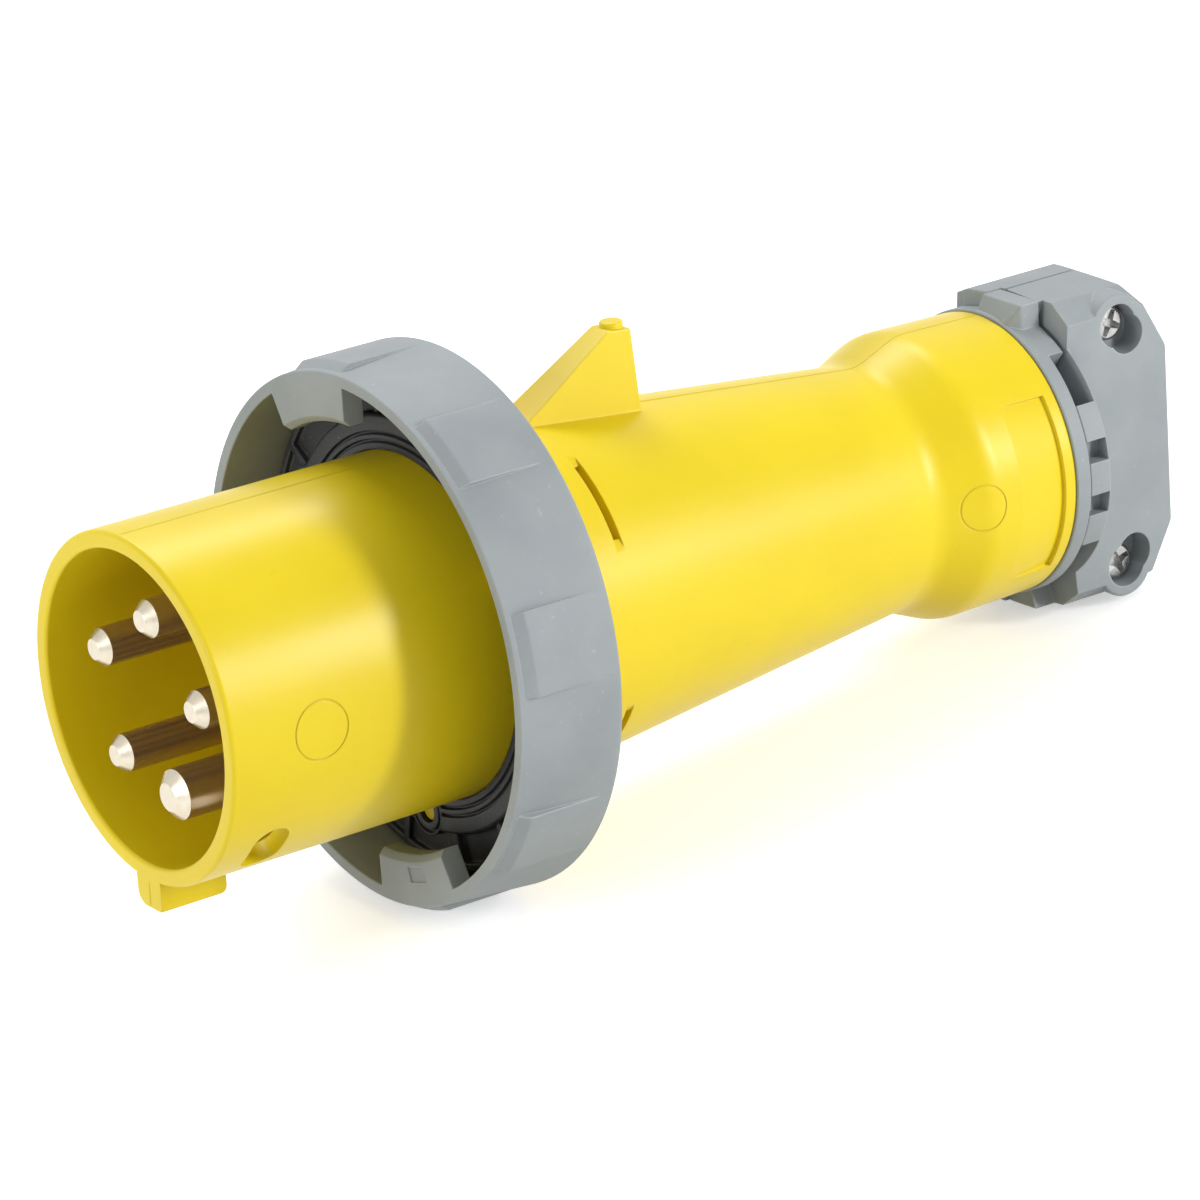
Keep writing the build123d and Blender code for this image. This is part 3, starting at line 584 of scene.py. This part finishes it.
def buildGasket():
    g = gasket
    seal, sheet, rear, ribs = g["sealFront"], g["sheetFront"], g["rear"], g["ribFront"]
    half, floor, rim = g["grooveWidth"] / 2, seal + g["grooveDepth"], g["outer"] - g["rimWidth"]
    corners = [(seal, g["inner"], 0.2)]
    for radius in g["grooves"]:
        corners += [(seal, radius - half, 0.15), (floor, radius - half / 2, 0.1),
                    (floor, radius + half / 2, 0.1), (seal, radius + half, 0.15)]
    corners += [(seal, g["sealOuter"], 0.7), (sheet, g["sealOuter"], 0.4), (sheet, rim, 0.3),
                (ribs, rim, 0.3), (ribs, g["outer"], 0.4), (rear, g["outer"], 0.2), (rear, g["inner"], 0)]
    item = lathe(rounded(corners, 3), g["segments"])
    rib = softened(box((ribs, sheet + 0.5), (-g["ribWidth"] / 2, g["ribWidth"] / 2),
                       (g["sealOuter"] - 1, g["outer"] - g["rimWidth"] / 2)), g["ribEdge"])
    item = joined(item, repeated(rib, g["ribCount"], 360 / g["ribCount"], 180 / g["ribCount"]))
    near, far = seal - g["offPlane"], rear - g["offPlane"]
    hole, bead, edge = g["eyeletHole"], g["eyeletRing"], g["eyeletRadius"]
    eyeletLoop = rounded([(near, hole, 0.25), (near, bead, 0.15), (floor, bead + 0.1, 0.1),
                          (floor, bead + 0.5, 0.1), (near, bead + 0.6, 0.15), (near, edge, 0.3),
                          (far, edge, 0), (far, hole, 0)], 3)
    eyelets, clearings = [], []
    for angle in g["eyeletAngles"]:
        clearings.append(turned(outward(bar(edge - 0.05, seal - 1, rear + 1, 64), g["eyeletCircle"]), angle))
        eyelets.append(turned(outward(lathe(eyeletLoop, 72), g["eyeletCircle"]), angle))
    item = joined(cut(item, *clearings), *eyelets)
    return cut(item, bar(g["inner"] + g["trim"], seal - 2, rear + 1, g["segments"]))


# Contact pins with bevelled tips, and the barrels behind the carrier
pins = dict(pitch=16.2, earthAngle=150.0, step=72.0, radius=3.45, earthRadius=4.6, tip=1.9, earthLead=1.3,
            tipShare=0.55, tipLength=1.8, tipRound=0.25, tipFootRound=0.18, reliefStart=45.5, reliefDepth=0.2,
            face=46.0, floor=64.0, barrelEnd=84.0, barrelExtra=1.4, barrelRound=0.3, wireHole=2.6,
            wireDepth=13, wireRound=0.2, segments=64)


def buildPin(radius, lead):
    p = pins
    tip = p["tip"] - lead
    shoulder, relief = tip + p["tipLength"], radius - p["reliefDepth"]
    barrel, barrelEnd, hole = radius + p["barrelExtra"], p["barrelEnd"], p["wireHole"]
    holeEnd = barrelEnd - p["wireDepth"]
    corners = [(tip, 0, 0), (tip, radius * p["tipShare"], p["tipRound"]),
               (shoulder, radius, p["tipFootRound"]), (p["reliefStart"], radius, 0),
               (p["reliefStart"], relief, 0), (p["face"], relief, 0),
               (p["face"], radius, 0), (p["floor"], radius, 0), (p["floor"], barrel, p["barrelRound"]),
               (barrelEnd, barrel, p["barrelRound"]), (barrelEnd, hole, p["wireRound"]),
               (holeEnd, hole, p["wireRound"]), (holeEnd, 0, 0)]
    return outward(lathe(rounded(corners, 4), p["segments"]), p["pitch"])


# Rear body with the pointer fin, chord slots, screw scallops and label recess
body = dict(front=65.0, shoulderFront=68.0, shoulderRear=71.0, shoulderRadius=43.5, hubRadius=39.7,
            coneRadius=33.2, hubWall=1.35, frontBore=28.6, frontBoreEnd=69.9, waistX=158.5, waistRadius=23.4,
            collarFront=168.0, collarRadius=27.4, endRadius=26.9, end=187.7, waistRound=9.0, collarRound=9.0,
            innerRound=4, coneFootRound=0.9, shoulderRound=0.4, edgeRound=0.7, smallRound=0.2, roundSteps=9,
            wall=3.0, grommetSeat=170.0, collarBore=24.0, segments=256,
            slotX=84.2, slotWidth=1.7, slotDepth=1.5, slotWellHalf=7.6, slotWellDepth=3.6, slotFacet=1.4,
            slotAngles=(45.0, 135.0, 225.0, 315.0), labelFront=174.6, labelRear=185.0, labelHalf=38.0,
            labelLip=0.03, labelDepth=0.8, labelTop=30, scallopRadius=3.3, scallopLength=5.5,
            screwCircle=35.0, recessCentre=97.5, recessWidth=59.0, recessFloor=37.9, recessTop=41,
            discX=166.3, discAngle=88.5, discRadius=4.3, markHalf=0.14, markDepth=0.13, seamFront=0.5,
            seamRear=0.9, seamWidth=0.7, seamHeight=0.09, seamRound=0.05)


def bodyRadius(x):
    b = body
    if x < b["waistX"]:
        share = (x - b["shoulderRear"]) / (b["waistX"] - b["shoulderRear"])
        return b["coneRadius"] + (b["waistRadius"] - b["coneRadius"]) * share
    if x < b["collarFront"]:
        share = (x - b["waistX"]) / (b["collarFront"] - b["waistX"])
        return b["waistRadius"] + (b["collarRadius"] - b["waistRadius"]) * share
    share = (x - b["collarFront"]) / (b["end"] - b["collarFront"])
    return b["collarRadius"] + (b["endRadius"] - b["collarRadius"]) * share


def outerLine(offset):
    b = body
    line = [(b["shoulderRear"] + b["seamFront"], b["coneRadius"] + offset, 0),
            (b["waistX"], b["waistRadius"] + offset, b["waistRound"]),
            (b["collarFront"], b["collarRadius"] + offset, b["collarRound"]),
            (b["end"] - b["seamRear"], b["endRadius"] + offset, 0)]
    return rounded(line, b["roundSteps"])


def buildBody():
    b = body
    front, shoulder, rear, small = b["front"], b["shoulderFront"], b["shoulderRear"], b["smallRound"]
    hub, bore, narrow = b["coneRadius"] - b["hubWall"], b["collarBore"], b["waistRadius"] - b["wall"]
    facet = [(x, bodyRadius(x), 0) for x in (b["slotX"] - b["slotFacet"], b["slotX"] + b["slotFacet"])]
    corners = [(front, hub, 0), (front, b["hubRadius"], small), (shoulder, b["hubRadius"], 0),
               (shoulder, b["shoulderRadius"], b["shoulderRound"]),
               (rear, b["shoulderRadius"], b["shoulderRound"]), (rear, b["coneRadius"], b["coneFootRound"]),
               *facet, (b["waistX"], b["waistRadius"], b["waistRound"]),
               (b["collarFront"], b["collarRadius"], b["collarRound"]),
               (b["end"], b["endRadius"], b["edgeRound"]), (b["end"], bore, small),
               (b["grommetSeat"], bore, small), (b["grommetSeat"], narrow, small),
               (b["waistX"], narrow, b["innerRound"]),
               (b["frontBoreEnd"], b["frontBore"], 0), (b["frontBoreEnd"], hub, 0)]
    item = lathe(rounded(corners, b["roundSteps"]), b["segments"])
    seamLoop = outerLine(-1.0) + list(reversed(outerLine(b["seamHeight"])))
    seam = lathe(seamLoop, 2, -b["seamWidth"] / 2, b["seamWidth"])
    item = joined(item, buildFin(), softened(seam, b["seamRound"], 60))

    cutters = []
    for angle in gasket["eyeletAngles"]:
        scallop = bar(b["scallopRadius"], rear, rear + b["scallopLength"], 48)
        cutters.append(turned(outward(scallop, b["screwCircle"]), angle))
    floor, top = b["recessFloor"], b["recessTop"]
    recessLoop = [(front - 1, floor), (front - 1, top), (shoulder, top), (shoulder, floor)]
    recess = lathe(recessLoop, 48, -b["recessWidth"] / 2, b["recessWidth"])
    cutters.append(repeated(recess, 2, 180, b["recessCentre"]))
    radius, slotHalf = bodyRadius(b["slotX"]), b["slotWidth"] / 2
    slotSpan = (b["slotX"] - slotHalf, b["slotX"] + slotHalf)
    for angle in b["slotAngles"]:
        slot = box(slotSpan, (-radius, radius), (radius - b["slotDepth"], radius + 2))
        well = box(slotSpan, (-b["slotWellHalf"], b["slotWellHalf"]), (radius - b["slotWellDepth"], radius))
        cutters += [turned(slot, angle), turned(well, angle)]
    first, last, top = b["labelFront"], b["labelRear"], b["labelTop"]
    labelLoop = [(first, bodyRadius(first) - b["labelLip"]), (first, top), (last, top),
                 (last, bodyRadius(last) - b["labelDepth"])]
    cutters.append(lathe(labelLoop, 64, 90 - b["labelHalf"], 2 * b["labelHalf"]))
    band = lathe(outerLine(-b["markDepth"]) + [(b["end"], 32), (rear, 36)], 64, b["discAngle"] - 25, 50)
    cutters.append(discMark(b, 16.0, 14, band))
    return cut(item, *cutters)


fin = dict(footWidth=10.2, footHeight=23.4, topWidth=5.2, front=82.2, tipFront=102.3, tipRear=107.2,
           height=44.4, tipDrop=0.5, root=27.6, edgeRound=0.4, discRadius=2.15, discRise=0.9, discRoot=3)


def buildFin():
    f = fin
    outline = [(f["front"], f["root"]), (f["front"], bodyRadius(f["front"])), (f["tipFront"], f["height"]),
               (f["tipRear"], f["height"] - f["tipDrop"]), (f["tipRear"], f["root"])]
    foot, top = f["footWidth"] / 2, f["topWidth"] / 2
    section = [(-foot, f["footHeight"]), (foot, f["footHeight"]), (top, f["height"]), (-top, f["height"])]
    wedge = prism(section, f["front"] - 1, f["tipRear"] + 1, "X")
    item = softened(common(prism(outline, -foot, foot, "Y"), wedge), f["edgeRound"], 20)
    middle = (f["tipFront"] + f["tipRear"]) / 2
    low, high = f["height"] - f["discRoot"], f["height"] + f["discRise"]
    corners = [(low, 0, 0), (low, f["discRadius"], 0), (high, f["discRadius"], f["edgeRound"]), (high, 0, 0)]
    return joined(item, moved(lathe(rounded(corners, 3), 40), upright(middle, 0)))


# Clamp base, with the two ears that stand in pockets of the clamp halves
clampBase = dict(front=187.7, rear=190.9, radius=27.3, earHeight=30.1, earFacet=3.4, earSlant=2.0,
                 earSetback=0.3, earNear=9.8, earFar=1.4, earCorner=2.0, earRear=194.2, earRoot=20.0,
                 rimFoot=21.2, rimStart=1.0, rimEnd=37.0, rimInset=0.02, rearRound=0.5, edgeRound=0.35,
                 smallRound=0.2, boreRound=0.3, neckRadius=15.2, neckEnd=194.3, catchRadius=18.0,
                 catchEnd=196.9, bore=12.5, spigot=1.5, spigotRadius=23.9, clearance=0.1, segments=192)


def buildClampBase():
    c = clampBase
    front, rear, spigot, small = c["front"], c["rear"], c["front"] - c["spigot"], c["smallRound"]
    neck, catch = c["neckRadius"], c["catchRadius"]
    corners = [(spigot, c["bore"], 0), (spigot, c["spigotRadius"], small), (front, c["spigotRadius"], 0),
               (front, c["radius"], c["edgeRound"]), (rear, c["radius"], c["rearRound"]), (rear, neck, 0),
               (c["neckEnd"], neck, 0), (c["neckEnd"], catch, small), (c["catchEnd"], catch, small),
               (c["catchEnd"], c["bore"], c["boreRound"])]
    item = lathe(rounded(corners, 4), c["segments"])
    return joined(item, *[turned(baseEar(), angle) for angle in (0, 180)])


def baseEar():
    c = clampBase
    high, front, back = c["earHeight"], c["front"] + c["earSetback"], c["earRear"]
    near, far, corner = -c["earNear"], c["earFar"], c["earCorner"]
    profile = [(front, c["earRoot"]), (front, high - c["earFacet"]), (front + c["earSlant"], high),
               (back, high), (back, c["earRoot"])]
    plan = [(front, corner + near), (front + corner, near), (back, near), (back, far), (front, far)]
    ear = common(prism(profile, near - 1, far + 1, "Y"), prism(plan, 0, high + 1, "Z"))
    ear = softened(ear, c["edgeRound"])
    rimFront, rim, foot = c["rear"] - 1, c["radius"] - c["rimInset"], c["rimFoot"]
    rimLoop = [(rimFront, foot, 0), (rimFront, rim, 0), (back, rim, c["rearRound"]), (back, foot, 0)]
    return joined(ear, lathe(rounded(rimLoop, 3), 48, c["rimStart"], c["rimEnd"] - c["rimStart"]))


def earPockets():
    c = clampBase
    gap = c["clearance"]
    spans = ((c["rear"] - 1, c["earRear"] + gap), (-c["earNear"] - gap, c["earFar"] + gap),
             (c["earRoot"] - gap, c["earHeight"] + 2))
    return [turned(box(*spans), angle) for angle in (0, 180)]


# Cable clamp: the two halves, and the screws that pull them together
clamp = dict(front=190.9, end=218.8, toeX=211.6, height=30.3, flat=17.3, face=16.2, faceHeight=26.1,
             faceDrop=0.6, nearShoulder=11.5, farShoulder=7.0, shoulderDrop=0.6, gap=0.4, blankBack=4.0,
             coneRadius=27.2, coneStraight=4.6, coneLength=12.6, coneRound=0.3, coneEdge=0.8, channel=11.0,
             ribHeight=1.8, ribWidth=1.6, ribCount=3, ribAngle=3.6, ribRound=0.3, lobe=6.2, lobeRise=0.02,
             lobeRound=0.6, windowInner=3.1, windowOuter=7.2, windowDepth=3.6, crescentStart=17.0,
             crescentEnd=60.0, crescentFront=3.6, crescentWidth=4.9, crescentDepth=7.0, screwX=207.5,
             screwZ=23.5, screwRadius=1.75, screwGap=0.1, headRadius=3.5, headRound=0.9, headHeight=2.6,
             headDepth=2.6, recessRadius=4.2, recessLobe=3.8, recessShift=2.0, nutWidth=6.2, nutHeight=2.8,
             nutDepth=4.2, crossReach=2.6, crossTip=0.5, crossMiddle=0.9, crossWaist=0.75, crossDepth=1.4,
             crossTurn=25, frontRound=0.8, cornerRound=2.5, edgeRound=1.0)


def clampBlank(shoulder):
    c = clamp
    front, end, toeX, high, toe = c["front"], c["end"], c["toeX"], c["height"], c["flat"]
    back, corner, frontRound = -c["face"] - 1, c["cornerRound"], c["frontRound"]
    outline = rounded([(front, -high, frontRound), (toeX, -high, corner), (end, -toe, corner),
                       (end, toe, corner), (toeX, high, corner), (front, high, frontRound)])
    item = prism(outline, -c["face"], c["blankBack"], "Y")
    wedges = []
    for side in (-1, 1):
        edge = [(5, side * (high + 1)), (5, side * high), (-c["gap"], side * high),
                (-shoulder, side * (high - c["shoulderDrop"])),
                (back, side * (c["faceHeight"] - c["faceDrop"])), (back, side * (high + 1))]
        wedges.append(prism(edge, front - 1, end + 1, "X"))
    item = softened(cut(item, *wedges), c["edgeRound"], 25, 3)
    item = cut(item, box((front - 1, end + 1), (-c["gap"], 6), (-high - 1, high + 1)))
    radius, straightEnd, coneEnd = c["coneRadius"], front + c["coneStraight"], front + c["coneLength"]
    coneLoop = [(front, 0, 0), (front, radius, c["coneRound"]), (straightEnd, radius, c["coneEdge"]),
                (coneEnd, c["face"] - 1, 0), (coneEnd, 0, 0)]
    cone = lathe(rounded(coneLoop, 3), clampBase["segments"])
    reach = radius + 2
    cone = common(cone, box((front - 1, coneEnd + 1), (-reach, -c["gap"]), (-reach, reach)))
    return joined(item, cone)


def clampCutters():
    c, base = clamp, clampBase
    front, radius, gap = c["front"], c["coneRadius"], base["clearance"]
    cutters = [bar(c["channel"], front - 1, c["end"] + 1, 96),
               bar(base["neckRadius"] + gap, front - 1, base["neckEnd"] + gap, 96),
               bar(base["catchRadius"] + gap, base["neckEnd"] - gap, base["catchEnd"] + gap, 96)]
    for side in (-1, 1):
        low, high = sorted((side * c["windowInner"], side * c["windowOuter"]))
        cutters.append(box((front - 1, front + c["coneStraight"] - 0.1),
                           (-radius - 1, -radius + c["windowDepth"]), (low, high)))
    inner, outer = radius - c["crescentDepth"], c["height"] + 3
    loop = [(front - 1, inner), (front - 1, outer), (front + c["crescentWidth"], outer),
            (front + c["crescentFront"], inner)]
    span = c["crescentEnd"] - c["crescentStart"]
    cutters += [lathe(loop, 24, start, span) for start in (c["crescentStart"], 180 - c["crescentEnd"])]
    return cutters


def clampRibs():
    c = clamp
    width, crest, root = c["ribWidth"], c["channel"] - c["ribHeight"], c["channel"] + 1
    first = clampBase["catchEnd"] + width
    step = (c["end"] - width - first) / c["ribCount"]
    ribs = []
    for index in range(c["ribCount"]):
        start = first + (index + 0.5) * step
        corners = [(start, crest, c["ribRound"]), (start, root, 0), (start + width, root, 0),
                   (start + width, crest, c["ribRound"])]
        ribs.append(lathe(rounded(corners, 2), 48, c["ribAngle"], 180 - 2 * c["ribAngle"]))
    return ribs


def crossBar(radius, x, z, start, end, edge=0.0, segments=48):
    corners = [(start, 0, 0), (start, radius, edge), (end, radius, 0), (end, 0, 0)]
    return moved(lathe(rounded(corners, 4), segments), sideways(x, z))


def buildClampNear():
    c = clamp
    x, face, hole = c["screwX"], -c["face"], c["screwRadius"] + c["screwGap"]
    item = clampBlank(c["nearShoulder"])
    item = joined(item, *[crossBar(c["lobe"], x, side * c["screwZ"], face - c["lobeRise"], -c["farShoulder"],
                                   c["lobeRound"], 72) for side in (-1, 1)])
    cutters = clampCutters()
    floor = face + c["headDepth"] + c["headHeight"]
    for side in (-1, 1):
        z = side * c["screwZ"]
        lobe = (x + c["recessShift"], side * (c["screwZ"] - c["recessShift"]), c["recessLobe"])
        recess = prism(pearOutline((x, z, c["recessRadius"]), lobe), face - 2, floor, "Y")
        cutters += [crossBar(hole, x, z, face + 1, 1), recess]
    return joined(cut(item, *cutters, *earPockets()), *clampRibs())


def buildClampFar():
    # Built on the camera's side as the near half is, then mirrored.
    c = clamp
    x, face, hole = c["screwX"], -c["face"], c["screwRadius"] + c["screwGap"]
    item = clampBlank(c["farShoulder"])
    cutters = clampCutters()
    reach = c["nutWidth"] / math.sqrt(3)
    for side in (-1, 1):
        z = side * c["screwZ"]
        turns = [math.radians(60 * i) for i in range(6)]
        nut = prism([(x + reach * math.cos(turn), z + reach * math.sin(turn)) for turn in turns], face - 1,
                    face + c["nutDepth"], "Y")
        cutters += [crossBar(hole, x, z, face - 1, 1), nut]
    item = joined(cut(item, *cutters), *clampRibs())
    item = moved(item, Matrix.Diagonal((1, -1, 1, 1)))
    item.data.flip_normals()
    return cut(item, *earPockets())


def buildClampScrew(side):
    c = clamp
    x, z = c["screwX"], side * c["screwZ"]
    floor = -c["face"] + c["headDepth"] + c["headHeight"]
    top, tip = floor - c["headHeight"], c["face"] - c["nutDepth"] + c["nutHeight"]
    head, shank, reach, middle = c["headRadius"], c["screwRadius"], c["crossReach"], c["crossMiddle"]
    corners = [(top, 0, 0), (top, head, c["headRound"]), (floor, head, 0.1), (floor, shank, 0),
               (tip, shank, 0.4), (tip, 0, 0)]
    item = moved(lathe(rounded(corners, 5), 64), sideways(x, z))
    edge = [(-reach, -c["crossTip"]), (-middle, -c["crossWaist"]), (middle, -c["crossWaist"]),
            (reach, -c["crossTip"])]
    cross = []
    for turn in (0, 90):
        arm = prism(edge + [(-a, -b) for a, b in edge], -c["crossDepth"], 3, "Z")
        spin = Matrix.Rotation(math.radians(turn + c["crossTurn"] * side), 4, "Y")
        place = Matrix.Translation((x, top, z)) @ spin @ Matrix.Rotation(math.radians(90), 4, "X")
        cross.append(moved(arm, place))
    return cut(item, *cross)


finished(buildSleeve(), "frontSleeveShell", yellowPlastic, "plug", ["front_sleeve"])
stageDone("front sleeve")
finished(buildRing(), "lockingRingShell", greyPlastic, "ring", ["locking_ring"])
stageDone("locking ring")
finished(buildGasket(), "faceGasketRubber", blackRubber, "plug", ["face_gasket"])
stageDone("gasket")
plugFrame = layDown.inverted()
for index, nodeName in enumerate(["earth_pin", "line_pin_1", "line_pin_2", "line_pin_3", "neutral_pin"]):
    isEarth = index == 0
    lead = pins["earthLead"] if isEarth else 0.0
    pin = buildPin(pins["earthRadius"] if isEarth else pins["radius"], lead)
    turned(pin, pins["earthAngle"] + index * pins["step"])
    word = "earthContact" if isEarth else f"contact{index}"
    pin = finished(pin, word, pinShaft, "plug", [nodeName])
    pin.data.materials.append(pinTip)
    shoulder = pins["tip"] - lead + pins["tipLength"]
    for polygon in pin.data.polygons:
        if (plugFrame @ polygon.center).x < shoulder:
            polygon.material_index = 1
stageDone("pins")
finished(buildBody(), "rearBodyShell", yellowPlastic, "plug", ["rear_body"])
stageDone("rear body")
finished(buildClampBase(), "clampBaseShell", greyPlastic, "plug", ["clamp_base"])
finished(buildClampNear(), "clampHalfNearShell", greyPlastic, "plug", ["clamp_half_near"])
finished(buildClampFar(), "clampHalfFarShell", greyPlastic, "plug", ["clamp_half_far"])
finished(buildClampScrew(1), "clampScrewUpperHead", screwSteel, "plug", ["clamp_screw_upper"])
finished(buildClampScrew(-1), "clampScrewLowerHead", screwSteel, "plug", ["clamp_screw_lower"])
stageDone("cable clamp")

# The nodes that hardly show keep their own mesh.
nodeMaterials = {"pin_carrier": yellowPlastic, "thrust_washer": greyPlastic, "body_seal": blackRubber,
                 "cable_grommet": blackRubber, "clamp_nuts": screwSteel}
for nodeName, node in frame["nodes"].items():
    material = nodeMaterials.get(nodeName, screwSteel if "screw" in nodeName else None)
    if material and not node.hide_render:
        for slot in node.material_slots:
            slot.material = material


# Floor, light and camera
def seenStraight(add, link):
    # One for rays from the camera, reflections and glass, so that they meet a white ground.
    path, mirrored, straight = add("ShaderNodeLightPath"), add("ShaderNodeMath"), add("ShaderNodeMath")
    mirrored.operation, straight.operation = "MAXIMUM", "MAXIMUM"
    link(path.outputs["Is Camera Ray"], mirrored.inputs[0])
    link(path.outputs["Is Glossy Ray"], mirrored.inputs[1])
    link(mirrored.outputs[0], straight.inputs[0])
    link(path.outputs["Is Transmission Ray"], straight.inputs[1])
    return straight.outputs[0]


stage = dict(floorHalf=1.3, floorColour=(0.88, 0.88, 0.88, 1), floorRough=0.85, floorShine=0.1,
             floorLift=0.48, worldStrength=0.45)


def makeFloor():
    half = stage["floorHalf"]
    mesh = bpy.data.meshes.new("floor")
    corners = [(-half, -half, 0), (half, -half, 0), (half, half, 0), (-half, half, 0)]
    mesh.from_pydata(corners, [], [(0, 1, 2, 3)])
    floor = newObject("floor", mesh)
    material = bpy.data.materials.new("paleFloor")
    material.use_nodes = True
    shader = material.node_tree.nodes["Principled BSDF"]
    shader.inputs["Base Color"].default_value = stage["floorColour"]
    shader.inputs["Roughness"].default_value = stage["floorRough"]
    shader.inputs["Specular IOR Level"].default_value = stage["floorShine"]
    shader.inputs["Emission Color"].default_value = (1.0, 1.0, 1.0, 1)
    add, link = material.node_tree.nodes.new, material.node_tree.links.new
    link(scaled(add, link, seenStraight(add, link), stage["floorLift"]), shader.inputs["Emission Strength"])
    mesh.materials.append(material)


def makeWorld():
    strength = stage["worldStrength"]
    world = bpy.data.worlds.new("world")
    world.use_nodes = True
    add, link = world.node_tree.nodes.new, world.node_tree.links.new
    ground = world.node_tree.nodes["Background"]
    ground.inputs["Color"].default_value = (1.0, 1.0, 1.0, 1)
    level = add("ShaderNodeMath")
    level.operation = "MULTIPLY_ADD"
    level.inputs[1].default_value, level.inputs[2].default_value = 1.0 - strength, strength
    link(seenStraight(add, link), level.inputs[0])
    link(level.outputs[0], ground.inputs["Strength"])
    bpy.context.scene.world = world


lamps = dict(keyLight=dict(place=(0.62, -0.84, 0.34), target=(0.0, 0.0, 0.05), size=(0.12, 0.45), power=8.0),
             backLight=dict(place=(0.3, 0.62, 0.95), target=(0.0, 0.0, 0.04), size=(0.8, 0.35), power=8.0),
             mouthLight=dict(place=(-1.0, -0.12, 0.5), target=(-0.08, 0.0, 0.05), size=(0.4, 0.4), power=4.4))


def makeLight(name, lamp):
    data = bpy.data.lights.new(name, "AREA")
    data.shape = "RECTANGLE"
    data.size, data.size_y = lamp["size"]
    data.energy = lamp["power"]
    item = bpy.data.objects.new(name, data)
    bpy.context.scene.collection.objects.link(item)
    item.location = lamp["place"]
    item.rotation_mode = "QUATERNION"
    item.rotation_quaternion = (Vector(lamp["target"]) - Vector(lamp["place"])).to_track_quat("-Z", "Y")


# The camera's place and axes in the plug's own frame, as fitted to the photograph
view = dict(place=(-523.454, -904.214, 392.908), right=(0.80923255, -0.58415889, -0.06245851),
            down=(-0.24790729, -0.24315783, -0.93777196), ahead=(0.53262055, 0.77435951, -0.34158848),
            focalPixels=6500.0, framePixels=1200.0, sensorWidth=36.0, nearest=0.05, farthest=20.0)


def makeCamera():
    data = bpy.data.cameras.new("camera")
    data.sensor_width = view["sensorWidth"]
    data.lens = view["focalPixels"] / view["framePixels"] * view["sensorWidth"]
    data.clip_start, data.clip_end = view["nearest"], view["farthest"]
    item = bpy.data.objects.new("camera", data)
    bpy.context.scene.collection.objects.link(item)
    turn = layDown.to_3x3().normalized()
    axes = [turn @ Vector(view["right"]), turn @ -Vector(view["down"]), turn @ -Vector(view["ahead"])]
    basis = Matrix(axes).transposed()
    item.matrix_world = Matrix.Translation(layDown @ Vector(view["place"])) @ basis.to_4x4()
    bpy.context.scene.camera = item


makeFloor()
makeCamera()
for name, lamp in lamps.items():
    makeLight(name, lamp)
makeWorld()
bpy.context.scene.view_settings.view_transform = "Standard"
stageDone("stage")
